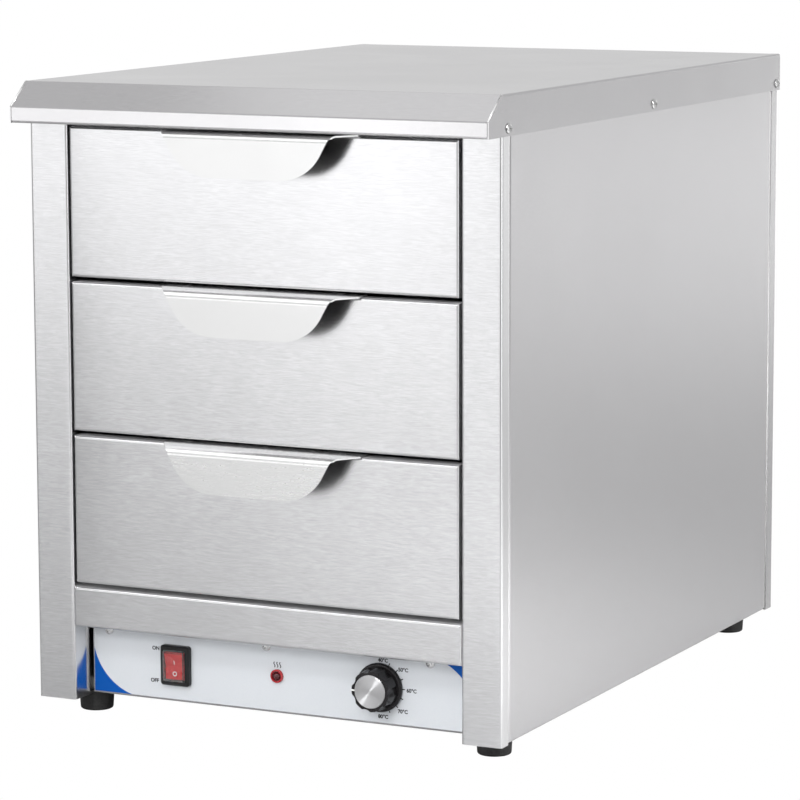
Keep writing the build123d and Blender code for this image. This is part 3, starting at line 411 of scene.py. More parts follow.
def sheet_grain():
    """Fine brushing along the sheet: streaks, their normal, and masks of the ways a face looks."""
    masks = dict.fromkeys(("Streaks", "Front", "Side", "Back", "Top"), FLOAT)
    group, entry = start_group(
        "sheet_grain",
        {"Along": 130.0, "Across": 1500.0, "Depth": 0.1},
        {**masks, "Normal": VECTOR},
    )
    looks = split_axes(group, group.nodes.new("ShaderNodeNewGeometry").outputs["Normal"])
    sideways = math_node(group, "ABSOLUTE", looks["X"])
    sideways = math_node(group, "GREATER_THAN", sideways, SIDE_LOOK)
    choose = group.nodes.new("ShaderNodeMix")
    choose.data_type = "VECTOR"
    group.links.new(sideways, choose.inputs[0])
    orders = (("Along", "Across", "Across"), ("Across", "Along", "Across"))
    for scale, order in zip(choose.inputs[4:6], orders):  # the node's two vectors
        combine = group.nodes.new("ShaderNodeCombineXYZ")
        for slot, source in zip(combine.inputs, order):
            group.links.new(entry[source], slot)
        group.links.new(combine.outputs[0], scale)
    stretched = vector_node(group, "MULTIPLY", object_place(group), choose.outputs[1])
    streaks = noise_mask(group, stretched, scale=1.0, detail=3.0, roughness=0.65)
    return close_group(group, {
        "Streaks": streaks,
        "Front": math_node(group, "ABSOLUTE", looks["Y"]),
        "Side": sideways,
        "Back": math_node(group, "GREATER_THAN", looks["Y"], BACK_LOOK),
        "Top": remap(group, looks["Z"], 0.0, 1.0, TOP_LOOK, 1.0),
        "Normal": bump_normal(group, streaks, GRAIN_RELIEF, entry["Depth"]),
    })


GRAIN = sheet_grain()
print("group", GRAIN.name, [socket.name for socket in GRAIN.interface.items_tree])

# %% Smudges and mottle
MOTTLE_RELIEF = 0.0002


def soft_smudges():
    """Faint cloudy film left by wiping, as a mask."""
    group, entry = start_group("soft_smudges", {"Scale": 9.0}, {"Clouds": FLOAT})
    clouds = noise_mask(group, object_place(group), entry["Scale"], detail=4.0, distortion=0.6)
    return close_group(group, {"Clouds": clouds})


def moulded_mottle():
    """Fine pebbled skin of moulded plastic and rubber: a mask and a normal."""
    group, entry = start_group(
        "moulded_mottle",
        {"Scale": 1500.0, "Depth": 0.2},
        {"Mottle": FLOAT, "Normal": VECTOR},
    )
    mottle = noise_mask(group, object_place(group), entry["Scale"])
    normal = bump_normal(group, mottle, MOTTLE_RELIEF, entry["Depth"])
    return close_group(group, {"Mottle": mottle, "Normal": normal})


SMUDGES = soft_smudges()
MOTTLE = moulded_mottle()


def smudges(tree, scale):
    """The mask of smudges in a material."""
    return place_group(tree, SMUDGES, {"Scale": scale})["Clouds"]


print("groups", [group.name for group in bpy.data.node_groups])

# %% [markdown]
# ## Brushed stainless steel
# The casing, the drawer fronts and the pulls are stainless sheet with a fine brushed finish. The
# grooves of the brushing spread every reflection across the grain, so the shader is anisotropic
# and its tangent points across the grooves. Streaks change the tone and the roughness a little,
# and smudges change them slowly, so that no large face is one flat grey. The rims of the drawers
# are rougher than their faces, which lets some light into the gaps between them, and their left
# ends bow back by a hair, which shows as a shade in what they mirror. The returns of the posts get
# a lighter tone, a painted highlight, and mirror the blue corner of the panel. The lid's side
# flanges lean a little, as folded flanges do, so they mirror a higher and darker part of the room
# than the side panels under them.
# The top of a pull falls to the front, so it mirrors the drawer above, and the back of a pull gets
# a dark tone, a painted shade.

# %% Grain and folds
GRAIN_LIFT = (0.0, 0.0, 0.02)  # keeps a tangent on faces that look along the grain
BOW_START = -0.1  # X where the left end of a drawer front starts to bow back
BOW_END = -0.165


def across_grain(tree, shader):
    """Points the shader's tangent across the brushing, on every face of a folded sheet."""
    normal = tree.nodes.new("ShaderNodeNewGeometry").outputs["Normal"]
    across = vector_node(tree, "CROSS_PRODUCT", normal, (1.0, 0.0, 0.0))
    tree.links.new(vector_node(tree, "ADD", across, GRAIN_LIFT), shader.inputs["Tangent"])


def tipped_normal(tree, grain, lean, fall, bow):
    """The grain's normal, tipped where a sheet leans, falls or bows."""
    x = split_axes(tree, object_place(tree))["X"]
    curl = remap(tree, x, 1.0, 0.0, BOW_END, BOW_START)
    curl = math_node(tree, "MULTIPLY", curl, curl)
    tip = tree.nodes.new("ShaderNodeCombineXYZ")
    tree.links.new(math_node(tree, "MULTIPLY", curl, -bow), tip.inputs["X"])
    tree.links.new(remap(tree, grain["Top"], 0.0, -fall), tip.inputs["Y"])
    tree.links.new(remap(tree, grain["Side"], 0.0, lean), tip.inputs["Z"])
    return vector_node(tree, "ADD", grain["Normal"], tip.outputs[0])


print("drawer fronts bow over", round(BOW_START - BOW_END, 3), "m")

# %% Brushed steel
STEEL_ANISOTROPY = 0.6
CLOUD_SCALE = 7.0  # slow change of the roughness
CLOUD_SHARE = (-0.02, 0.03)
PATCH_SCALE = 45.0  # smaller patches that darken the tone
PATCH_SHARE = 0.3
STREAK_SHARE = 0.015  # how far a streak changes the roughness
RIM_LOOKS = (0.1, 0.4)  # a rim roughens as its normal turns from the front


def brushed_steel(
    name, dark, light, roughness, depth=0.06, across=1500.0,
    fold=0.0, lean=0.0, fall=0.0, bow=0.0, edge=None, back=None,
):
    """Stainless sheet with a visible grain. Fold roughens its rims, lean tips its sides up, fall
    tips its top to the front and bow turns its left end away. Edge is a lighter tone for faces that
    look to the side, a painted highlight, and back is a dark tone for faces that look to the back,
    a painted shade."""
    plain = {"Metallic": 1.0, "Anisotropic": STEEL_ANISOTROPY}
    material, tree, shader = start_material(name, plain)
    grain = place_group(tree, GRAIN, {"Across": across, "Depth": depth})
    patches = remap(tree, smudges(tree, PATCH_SCALE), 0.0, PATCH_SHARE)
    tone = mix_colours(tree, grain["Streaks"], dark, light)
    tone = mix_colours(tree, patches, tone, dark)
    # faces that look to the side get a lighter tone: a painted highlight
    if edge:
        tone = mix_colours(tree, grain["Side"], tone, edge)
    # faces that look to the back get a dark tone: painted shade
    if back:
        tone = mix_colours(tree, grain["Back"], tone, back)
    fine = remap(tree, grain["Streaks"], roughness - STREAK_SHARE, roughness + STREAK_SHARE)
    rough = math_node(tree, "ADD", fine, remap(tree, smudges(tree, CLOUD_SCALE), *CLOUD_SHARE))
    if fold:
        rim = remap(tree, grain["Front"], fold, 0.0, *RIM_LOOKS)
        rough = math_node(tree, "ADD", rough, rim)
    normal = grain["Normal"]
    if lean or fall or bow:
        normal = tipped_normal(tree, grain, lean, fall, bow)
    dress(tree, shader, tone, rough, normal)
    across_grain(tree, shader)
    return material


FRONT_TONES = ((0.592, 0.592, 0.602), (0.704, 0.704, 0.717))

casing_steel = brushed_steel("casing_steel", (0.625, 0.619, 0.63), (0.675, 0.669, 0.68), 0.2)
lid_steel = brushed_steel(
    "lid_steel", (0.603, 0.597, 0.608), (0.653, 0.647, 0.658), 0.2, lean=0.045
)
front_steel = brushed_steel(
    "front_steel", *FRONT_TONES, 0.2, depth=0.05, across=1200.0, fold=0.5, bow=0.15
)
# the edge tone lightens the returns of the posts: a painted highlight
post_steel = brushed_steel(
    "post_steel", *FRONT_TONES, 0.2, depth=0.05, across=1200.0, edge=(0.78, 0.78, 0.79)
)
# the back tone darkens the shaded back of each pull: painted shade
pull_steel = brushed_steel(
    "pull_steel", (0.652, 0.652, 0.653), (0.676, 0.676, 0.677), 0.25,
    depth=0.0, fall=0.28, back=(0.2, 0.195, 0.19),
)
inner_steel = brushed_steel("inner_steel", grey(0.5), grey(0.56), 0.34, depth=0.05, across=500.0)
for steel in (casing_steel, lid_steel, front_steel, post_steel, pull_steel, inner_steel):
    print("brushed steel", steel.name)

# %% [markdown]
# ## Pressed pans, zinc-coated sheet and plated fasteners
# The pans are drawn from thin sheet, which leaves a satin skin with soft draw marks down the walls.
# Frames and runners are zinc-coated: zinc freezes in flat crystals, which a cell texture gives.
# Screws and rivets are bright plated steel with light scuffs.

# %% Other bare metals
BARE_METAL = {"Metallic": 1.0}
DRAW_MARKS = (140.0, 140.0, 8.0)  # long along Z
MARK_RELIEF = 0.0004
CRYSTAL_SCALE = 160.0


def pan_steel():
    """Satin skin of a deep-drawn pan."""
    material, tree, shader = start_material("pan_satin", BARE_METAL)
    marks = stretched_noise(tree, DRAW_MARKS, detail=3.0, roughness=0.6)
    tone = mix_colours(tree, marks, grey(0.6), grey(0.68))
    roughness = remap(tree, smudges(tree, 12.0), 0.27, 0.31)
    dress(tree, shader, tone, roughness, bump_normal(tree, marks, MARK_RELIEF, strength=0.08))
    return material


def zinc_sheet():
    """Zinc coating with its frosted crystals."""
    material, tree, shader = start_material("zinc_sheet", BARE_METAL)
    crystals = tree.nodes.new("ShaderNodeTexVoronoi")
    crystals.inputs["Scale"].default_value = CRYSTAL_SCALE
    tree.links.new(object_place(tree), crystals.inputs["Vector"])
    shade = split_axes(tree, crystals.outputs["Color"])
    haze = remap(tree, smudges(tree, 30.0), 0.0, 0.35)
    tone = mix_colours(tree, shade["X"], (0.46, 0.47, 0.48), (0.6, 0.61, 0.62))
    tone = mix_colours(tree, haze, tone, (0.42, 0.42, 0.43))
    dress(tree, shader, tone, remap(tree, shade["Y"], 0.28, 0.46))
    return material


def plated_metal(name, dull, bright, low, high, scale=900.0):
    """Plated or bare metal of a small piece, with scuffs."""
    material, tree, shader = start_material(name, BARE_METAL)
    scuffs = stretched_noise(tree, (scale, scale, scale), detail=3.0, roughness=0.6)
    dress(tree, shader, mix_colours(tree, scuffs, dull, bright), remap(tree, scuffs, high, low))
    return material


pan_satin = pan_steel()
zinc = zinc_sheet()
weld_bead = plated_metal("weld_bead", grey(0.88), grey(0.96), 0.25, 0.4)
plated_screw = plated_metal("plated_screw", grey(0.6), grey(0.78), 0.14, 0.28)
brass = plated_metal("brass_blade", (0.62, 0.42, 0.16), (0.78, 0.56, 0.25), 0.2, 0.4)
copper = plated_metal("copper_bulb", (0.6, 0.27, 0.16), (0.8, 0.42, 0.28), 0.2, 0.45, scale=400.0)
sheath = plated_metal(
    "element_sheath", (0.1, 0.09, 0.075), (0.2, 0.18, 0.15), 0.35, 0.6, scale=300.0
)
thermostat_case = plated_metal(
    "thermostat_case", grey(0.42), (0.55, 0.55, 0.54), 0.3, 0.5, scale=500.0
)
print("metals", pan_satin.name, zinc.name, plated_screw.name)

# %% [markdown]
# ## The knob's spun cap
# The aluminium disc was turned on a lathe, which leaves thousands of rings. Rings mirror a lamp as
# two opposite bright wedges. A ring-shaped noise about the disc's axis gives the grooves, and an
# anisotropic shader whose tangent points outwards gives the wedges.

# %% Spun aluminium
KNOB_AXIS = Vector(joints["knob_turn"]["pos_m"])
RING_SCALE = 7000.0
ACROSS_AXIS = (1.0, 0.0, 1.0)  # leaves out the distance along the axis


def from_axis(tree, centre):
    """Direction and distance from an axis that runs from front to back through a centre."""
    centred = tree.nodes.new("ShaderNodeMapping")
    centred.inputs["Location"].default_value = -centre
    tree.links.new(object_place(tree), centred.inputs["Vector"])
    outwards = vector_node(tree, "MULTIPLY", centred.outputs[0], ACROSS_AXIS)
    return outwards, calculation(tree, "ShaderNodeVectorMath", "LENGTH", [outwards])["Value"]


def spun_aluminium():
    """Lathe-turned disc with concentric rings about the knob's axis."""
    plain = {"Metallic": 1.0, "Anisotropic": 0.95}
    material, tree, shader = start_material("spun_aluminium", plain)
    outwards, radius = from_axis(tree, KNOB_AXIS)
    rings = tree.nodes.new("ShaderNodeTexNoise")
    rings.noise_dimensions = "1D"
    rings.inputs["Scale"].default_value = RING_SCALE
    tree.links.new(radius, rings.inputs["W"])
    grooves = full_contrast(tree, rings.outputs["Fac"])
    tone = mix_colours(tree, grooves, (0.48, 0.48, 0.49), (0.62, 0.62, 0.63))
    dress(tree, shader, tone, remap(tree, grooves, 0.36, 0.46))
    tree.links.new(outwards, shader.inputs["Tangent"])
    return material


spun_cap = spun_aluminium()
print("knob axis", [round(value, 4) for value in KNOB_AXIS])

# %% [markdown]
# ## Plastics, rubber, wool and ceramic
# The switch bezel, the knob and the feet are black, but not the same black: the bezel is lightly
# pebbled, the knob is glossier and the feet are dull rubber. The rocker and the lamp lens are red
# plastic that lets some light through. One function makes all that is moulded, and ink as well.

# %% Moulded plastics
MOULD_SMUDGES = 60.0


def moulded(name, dark, light, low, high, scale=1500.0, depth=0.12, extra=None):
    """Moulded plastic, rubber or ceramic with a fine skin."""
    material, tree, shader = start_material(name, extra)
    skin = place_group(tree, MOTTLE, {"Scale": scale, "Depth": depth})
    tone = mix_colours(tree, skin["Mottle"], dark, light)
    roughness = remap(tree, smudges(tree, MOULD_SMUDGES), low, high)
    dress(tree, shader, tone, roughness, skin["Normal"])
    return material


bezel_black = moulded(
    "bezel_black", (0.01, 0.01, 0.011), (0.017, 0.017, 0.018), 0.3, 0.42,
    extra={"Specular IOR Level": 0.22},
)
knob_black = moulded(
    "knob_black", (0.007, 0.006, 0.007), (0.012, 0.011, 0.012), 0.16, 0.26,
    scale=900.0, depth=0.05, extra={"Specular IOR Level": 0.3},
)
foot_rubber = moulded(
    "foot_rubber", grey(0.012), grey(0.026), 0.6, 0.8, scale=1100.0, depth=0.25
)
rocker_red = moulded(
    "rocker_red", (0.58, 0.006, 0.01), (0.7, 0.012, 0.016), 0.2, 0.32,
    scale=500.0, depth=0.04, extra={"Subsurface Weight": 0.15},
)
white_nylon = moulded("white_nylon", (0.7, 0.69, 0.65), (0.8, 0.79, 0.76), 0.4, 0.55)
ceramic = moulded("block_ceramic", (0.72, 0.69, 0.62), (0.84, 0.81, 0.75), 0.3, 0.5)
ink_black = moulded(
    "ink_black", (0.006, 0.006, 0.007), (0.014, 0.014, 0.016), 0.5, 0.65,
    scale=2500.0, depth=0.05, extra={"Specular IOR Level": 0.1},
)
ink_white = moulded(
    "ink_white", (0.75, 0.75, 0.74), (0.86, 0.86, 0.85), 0.4, 0.55, scale=2500.0, depth=0.05
)
print("plastics", bezel_black.name, knob_black.name, foot_rubber.name)

# %% Wool, lens and hood
FIBRES = (300.0, 300.0, 900.0)  # matted flat
FIBRE_RELIEF = 0.002
LENS_RING = 0.0036  # radius beyond which the lens is lit by its rim
LENS_BLEND = 1.2


def mineral_wool():
    """Matted fibres of the insulation."""
    material, tree, shader = start_material("mineral_wool", {"Sheen Weight": 0.3})
    fibres = stretched_noise(tree, FIBRES, detail=6.0, roughness=0.7)
    tone = mix_colours(tree, fibres, (0.42, 0.38, 0.25), (0.66, 0.62, 0.46))
    relief = bump_normal(tree, fibres, FIBRE_RELIEF)
    dress(tree, shader, tone, remap(tree, fibres, 0.85, 1.0), relief)
    return material


def lamp_lens():
    """Red lens: bright where the rim catches the light, deep red over the unlit lamp."""
    material, tree, shader = start_material("lens_red", {"Coat Weight": 0.5})
    low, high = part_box("pilot_lamp_lens")
    radius = from_axis(tree, (low + high) / 2)[1]
    skin = place_group(tree, MOTTLE, {"Scale": 700.0, "Depth": 0.03})["Mottle"]
    rim = remap(tree, radius, 0.0, 1.0, LENS_RING, LENS_RING * LENS_BLEND)
    rim = math_node(tree, "MULTIPLY", rim, remap(tree, skin, 0.85, 1.0))
    tone = mix_colours(tree, rim, (0.07, 0.004, 0.006), (0.4, 0.008, 0.014))
    dress(tree, shader, tone, remap(tree, skin, 0.1, 0.18))
    return material


def clear_hood():
    """Soft clear plastic over the rocker, a little hazy."""
    material, tree, shader = start_material("clear_hood", {
        "Base Color": rgba((0.98, 0.97, 0.96)), "Transmission Weight": 1.0, "IOR": 1.49,
        "Specular IOR Level": 0.85, "Sheen Weight": 0.4,
    })
    dress(tree, shader, roughness=remap(tree, smudges(tree, 250.0), 0.01, 0.05))
    return material


wool = mineral_wool()
hood_clear = clear_hood()
lens_red = lamp_lens()
print("soft and clear", wool.name, hood_clear.name, lens_red.name)

# %% [markdown]
# ## The printed film on the control panel
# The panel carries a pale bluish film. Two corners are printed deep blue, each cut off by an arc.
# The arcs belong to the print and not to the shape, so they are drawn in the material: a point is
# blue when it lies in the corner and outside a circle.

# %% Overlay film
FILM_PALE = (0.57, 0.593, 0.625)
FILM_PALE_LIGHT = (0.6, 0.62, 0.648)
FILM_BLUE = (0.002, 0.078, 0.36)
ARC_RADIUS = 0.047
LOWER_ARC = (-0.1172, 0.0648)  # X and Z of the circle that bounds the lower left corner
UPPER_ARC = (0.1225, 0.0282)


def corner_mask(tree, place, centre, side):
    """1 in the corner beyond an arc, on the given side of its centre."""
    reaches = []
    for axis, middle in zip("XZ", centre):
        away = math_node(tree, "SUBTRACT", place[axis], middle)
        reaches.append(math_node(tree, "MULTIPLY", away, side))
    squares = [math_node(tree, "MULTIPLY", reach, reach) for reach in reaches]
    mask = math_node(tree, "GREATER_THAN", math_node(tree, "ADD", *squares), ARC_RADIUS ** 2)
    for reach in reaches:
        mask = math_node(tree, "MULTIPLY", mask, math_node(tree, "GREATER_THAN", reach, 0.0))
    return mask


def overlay_film():
    """Satin film with two blue corners."""
    material, tree, shader = start_material("overlay_film", {"Specular IOR Level": 0.12})
    place = split_axes(tree, object_place(tree))
    lower = corner_mask(tree, place, LOWER_ARC, -1.0)
    upper = corner_mask(tree, place, UPPER_ARC, 1.0)
    skin = place_group(tree, MOTTLE, {"Scale": 2200.0, "Depth": 0.05})
    pale = mix_colours(tree, skin["Mottle"], FILM_PALE, FILM_PALE_LIGHT)
    printed = mix_colours(tree, math_node(tree, "MAXIMUM", lower, upper), pale, FILM_BLUE)
    roughness = remap(tree, smudges(tree, 25.0), 0.3, 0.42)
    dress(tree, shader, printed, roughness, skin["Normal"])
    return material


film = overlay_film()
print("film", film.name)

# %% [markdown]
# ## Giving each piece its finish
# A CAD piece keeps its shape and only gets a new material. The drawers are three times the same
# set of pieces, so their names are made in a loop.

# %% Assign the finishes
finishes = {
    casing_steel: ["left_side_panel", "right_side_panel", "rear_panel", "top_rail"],
    lid_steel: ["lid"],
    front_steel: ["lower_rail"],
    post_steel: ["left_front_post", "right_front_post", "control_panel"],
    pull_steel: [],
    inner_steel: [
        "base_plate", "left_liner_wall", "right_liner_wall", "chamber_ceiling", "chamber_back",
        "chamber_floor", "element_cradles",
    ],
    pan_satin: [],
    zinc: [],
    plated_screw: ["lid_screws", "panel_screws", "foot_screws", "thermostat_spindle"],
    bezel_black: ["switch_housing", "pilot_lamp_body", "cable_gland", "gland_nut"],
    knob_black: ["thermostat_knob"],
    spun_cap: ["knob_cap"],
    foot_rubber: ["feet"],
    rocker_red: ["switch_rocker"],
    lens_red: ["pilot_lamp_lens"],
    hood_clear: ["switch_hood"],
    brass: ["switch_terminals"],
    copper: ["thermostat_bulb"],
    sheath: ["heating_element"],
    thermostat_case: ["thermostat_body"],
    white_nylon: ["runner_glides"],
    ceramic: ["terminal_block"],
    film: ["panel_overlay"],
    wool: ["insulation_pads"],
}
for drawer in ("upper", "middle", "lower"):
    finishes[front_steel].append(f"{drawer}_drawer_front")
    finishes[pull_steel].append(f"{drawer}_drawer_pull")
    finishes[pan_satin].append(f"{drawer}_drawer_pan")
    for piece in ("drawer_frame", "drawer_runners", "cabinet_runners"):
        finishes[zinc].append(f"{drawer}_{piece}")
    finishes[plated_screw].append(f"{drawer}_pull_rivets")

for material, names in finishes.items():
    for name in names:
        slots = nodes[name].data.materials
        slots.clear()
        slots.append(material)
dressed = {name for names in finishes.values() for name in names}
print("dressed", len(dressed), "left bare", sorted(set(nodes) - dressed))

# %% [markdown]
# ## Making new pieces
# The marks and the fasteners are new meshes. A piece is built in a bmesh, already in place, and
# its object stays at the origin. One helper turns its faces outwards and closes it into an object
# that rides on a body, two add simple shapes, and two pick out vertices and edges.

# %% Piece helpers
def finish_piece(bm, name, material, body, smooth=False):
    """Turns a bmesh into an object that rides on a body and gives it the given material."""
    bmesh.ops.recalc_face_normals(bm, faces=bm.faces)
    mesh = bpy.data.meshes.new(name)
    bm.to_mesh(mesh)
    bm.free()
    for face in mesh.polygons:
        face.use_smooth = smooth
    mesh.materials.append(material)
    piece = bpy.data.objects.new(name, mesh)
    scene.collection.objects.link(piece)
    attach(piece, body)
    print(name, "faces", len(mesh.polygons))
    return piece


def add_bar(bm, place, length, width, thickness):
    """Adds a thin bar whose length runs along the place's own X."""
    size = Matrix.Diagonal((length, width, thickness, 1.0))
    bmesh.ops.create_cube(bm, size=1.0, matrix=place @ size)


def add_bead(bm, place, radius, length, segments):
    """Adds a round bead whose length runs along the place's own Z."""
    bmesh.ops.create_cone(
        bm, cap_ends=True, segments=segments, radius1=radius, radius2=radius, depth=length,
        matrix=place,
    )


def only_verts(geometry):
    """The vertices among what an extrusion made."""
    return [item for item in geometry if isinstance(item, bmesh.types.BMVert)]


def loop_edges(verts):
    """The edges of one ring of vertices, in a fixed order, so that each run makes the same mesh."""
    ring = set(verts)
    edges = [edge for vertex in verts for edge in vertex.link_edges if set(edge.verts) <= ring]
    return list(dict.fromkeys(edges))


print("piece helpers ready")

# %% [markdown]
# ## Print on the film
# The switch has the words for on and off beside it, the lamp a heat sign above it, and the dial
# numbers with ticks. Text starts as a font curve, is made a mesh, and is stood up against the film.
# It is raised by a few hundredths of a millimetre, as thick ink is.

# %% Text on the film
INK = 0.00006  # thickness of the print
FILM_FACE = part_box("panel_overlay")[0].y
UPRIGHT = Matrix.Rotation(math.pi / 2, 4, "X")  # a flat drawing turned to face the front
STROKE_WEIGHT = 0.04  # widening of the strokes, as a share of the size


def on_film(x, z, turn=0.0):
    """Place on the film's face, with a turn in its plane."""
    spot = Matrix.Translation((x, FILM_FACE - INK / 2, z))
    return spot @ UPRIGHT @ Matrix.Rotation(turn, 4, "Z")


def add_text(bm, words, size, x, z):
    """Adds one line of text to the print, centred at X and Z."""
    curve = bpy.data.curves.new("words", "FONT")
    curve.body = words
    curve.size = size
    curve.align_x = "CENTER"
    curve.align_y = "CENTER"
    curve.extrude = INK / 2
    curve.bevel_depth = size * STROKE_WEIGHT
    curve.bevel_resolution = 0
    holder = bpy.data.objects.new("words", curve)
    scene.collection.objects.link(holder)
    graph = bpy.context.evaluated_depsgraph_get()
    mesh = bpy.data.meshes.new_from_object(holder.evaluated_get(graph))
    flatten = Matrix.Diagonal((1.0, 1.0, INK / (INK + 2 * size * STROKE_WEIGHT), 1.0))
    mesh.transform(on_film(x, z) @ flatten)
    bm.from_mesh(mesh)
    bpy.data.objects.remove(holder)
    bpy.data.curves.remove(curve)
    bpy.data.meshes.remove(mesh)


print("film face at", round(FILM_FACE, 4))

# %% Words, numbers and ticks
SWITCH_WORDS = (("ON", -0.1074, 0.0585), ("OFF", -0.1087, 0.0327))
SWITCH_WORD_SIZE = 0.0041
DIAL_NUMBERS = (("40°C", 0.0022, 0.0208), ("50°C", 0.0192, 0.0149), ("60°C", 0.0262, -0.0007),
                ("70°C", 0.0188, -0.0174), ("80°C", 0.0022, -0.0229))
DIAL_NUMBER_SIZE = 0.004
TICK_COUNT = 9
TICK_RADIUS = 0.0196
TICK_LENGTH = 0.0022
TICK_WIDTH = 0.0008

panel_print = bmesh.new()
for words, x, z in SWITCH_WORDS:
    add_text(panel_print, words, SWITCH_WORD_SIZE, x, z)
for words, dx, dz in DIAL_NUMBERS:
    add_text(panel_print, words, DIAL_NUMBER_SIZE, KNOB_AXIS.x + dx, KNOB_AXIS.z + dz)
for index in range(1, TICK_COUNT - 1):
    angle = math.pi / 2 - index * math.pi / (TICK_COUNT - 1)
    x = KNOB_AXIS.x + TICK_RADIUS * math.cos(angle)
    z = KNOB_AXIS.z + TICK_RADIUS * math.sin(angle)
    add_bar(panel_print, on_film(x, z, angle), TICK_LENGTH, TICK_WIDTH, INK)
print("print so far", len(panel_print.faces), "faces")

# %% [markdown]
# The heat sign is three rising waves. Each wave is a narrow strip that is cut into short lengths
# and pushed sideways by a sine.

# %% Heat sign
LAMP_X = sum(corner.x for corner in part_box("pilot_lamp_lens")) / 2
WAVE_PITCH = 0.0025
WAVE_HEIGHT = 0.0044
WAVE_SWING = 0.0005
WAVE_WIDTH = 0.0008
WAVE_CUTS = 10
SIGN_Z = 0.0556

for index in (-1, 0, 1):
    strip = bmesh.new()
    add_bar(strip, Matrix(), WAVE_HEIGHT, WAVE_WIDTH, INK)
    long_edges = [edge for edge in strip.edges if edge.calc_length() > 2 * WAVE_WIDTH]
    bmesh.ops.subdivide_edges(strip, edges=long_edges, cuts=WAVE_CUTS, use_grid_fill=True)
    for vertex in strip.verts:
        vertex.co.y += WAVE_SWING * math.sin(2 * math.pi * vertex.co.x / WAVE_HEIGHT)
    place = on_film(LAMP_X + index * WAVE_PITCH, SIGN_Z, math.pi / 2)
    bmesh.ops.transform(strip, matrix=place, verts=strip.verts)
    wave = bpy.data.meshes.new("wave")
    strip.to_mesh(wave)
    strip.free()
    panel_print.from_mesh(wave)
    bpy.data.meshes.remove(wave)

finish_piece(panel_print, "panel_print", ink_black, "cabinet")

# %% [markdown]
# ## Marks on the rocker and the knob
# The rocker carries a white bar on its upper half and a white ring on its lower half. Both halves
# slope, so each mark is laid on its own half. The knob has one white line on its pointer lobe,
# across the rim and down the side of the grip.

# %% Rocker marks
ROCKER_PIVOT = Vector(joints["rocker_tilt"]["pos_m"])
ROCKER_TILT = math.radians(7.0)  # at rest, with the lower half pressed in
DISH_HALF = 0.0104
DISH_DEPTH = 0.0013
HALF_SLOPE = math.atan(DISH_DEPTH / DISH_HALF)  # slope of each half of the dished face
DISH_RISE = 0.0036  # height of the face over the pivot, in the middle of the dish
BAR_ALONG = 0.0032  # from the rocker's middle to the bar and to the ring
RING_ALONG = 0.0059
BAR_LENGTH = 0.0034
BAR_WIDTH = 0.0006
RING_OUTER = 0.0019
RING_INNER = 0.0012
RING_SEGMENTS = 40


def on_rocker(half, along):
    """Place on the rocker's upper (1) or lower (-1) half, at a distance from its middle."""
    rise = DISH_RISE + along * math.tan(HALF_SLOPE)
    slope = Matrix.Rotation(half * HALF_SLOPE, 4, "X")
    face = Matrix.Translation((0.0, half * along, rise)) @ slope
    tilt = Matrix.Rotation(ROCKER_TILT, 4, "X")
    return Matrix.Translation(ROCKER_PIVOT) @ UPRIGHT @ tilt @ face


rocker_marks = bmesh.new()
bar_place = on_rocker(1, BAR_ALONG) @ Matrix.Rotation(math.pi / 2, 4, "Z")
add_bar(rocker_marks, bar_place, BAR_LENGTH, BAR_WIDTH, INK)
ring_place = on_rocker(-1, RING_ALONG)
ring_edges = []
for radius in (RING_OUTER, RING_INNER):
    circle = bmesh.ops.create_circle(
        rocker_marks, segments=RING_SEGMENTS, radius=radius, matrix=ring_place
    )
    ring_edges += loop_edges(circle["verts"])
band = bmesh.ops.bridge_loops(rocker_marks, edges=ring_edges)
raised = bmesh.ops.extrude_face_region(rocker_marks, geom=band["faces"])["geom"]
outward = ring_place.to_3x3() @ Vector((0.0, 0.0, INK / 2))
bmesh.ops.translate(rocker_marks, vec=outward, verts=only_verts(raised))
finish_piece(rocker_marks, "rocker_marks", ink_white, "rocker")

# %% Knob pointer
POINTER_WIDTH = 0.0012
GRIP_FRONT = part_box("thermostat_knob")[0].y
POINTER_PATH = (  # distance from the axis, and depth behind the front of the grip
    (0.0129, 0.0), (0.0152, 0.0), (0.0156, 0.00015), (0.01575, 0.0005), (0.0166, 0.0125),
)

pointer = bmesh.new()
path = []
for radius, depth in POINTER_PATH:
    x = KNOB_AXIS.x - radius - INK
    y = GRIP_FRONT + depth - INK
    path.append(pointer.verts.new((x, y, KNOB_AXIS.z - POINTER_WIDTH / 2)))
path_edges = [pointer.edges.new(ends) for ends in zip(path, path[1:])]
widened = bmesh.ops.extrude_edge_only(pointer, edges=path_edges)["geom"]
bmesh.ops.translate(pointer, vec=(0.0, 0.0, POINTER_WIDTH), verts=only_verts(widened))
bmesh.ops.recalc_face_normals(pointer, faces=pointer.faces)
bmesh.ops.solidify(pointer, geom=pointer.faces[:], thickness=INK)
finish_piece(pointer, "knob_pointer", ink_white, "knob")

# %% [markdown]
# ## Welded seams of the lid
# The sloped front and the two side flanges of the lid meet in a seam, which the maker welds and
# polishes. A thin round bead lies in each seam. It shows as one bright line, because a round bead
# always has a side that mirrors a lamp.

# %% Lid seams
SEAM_RADIUS = 0.0009
SEAM_SEGMENTS = 20
SEAM_SINK = 0.00055  # how far the bead's middle lies below the slope
SEAM_END = 0.0006
SLOPE_DROP = 0.0184
SLOPE_RUN = 0.023

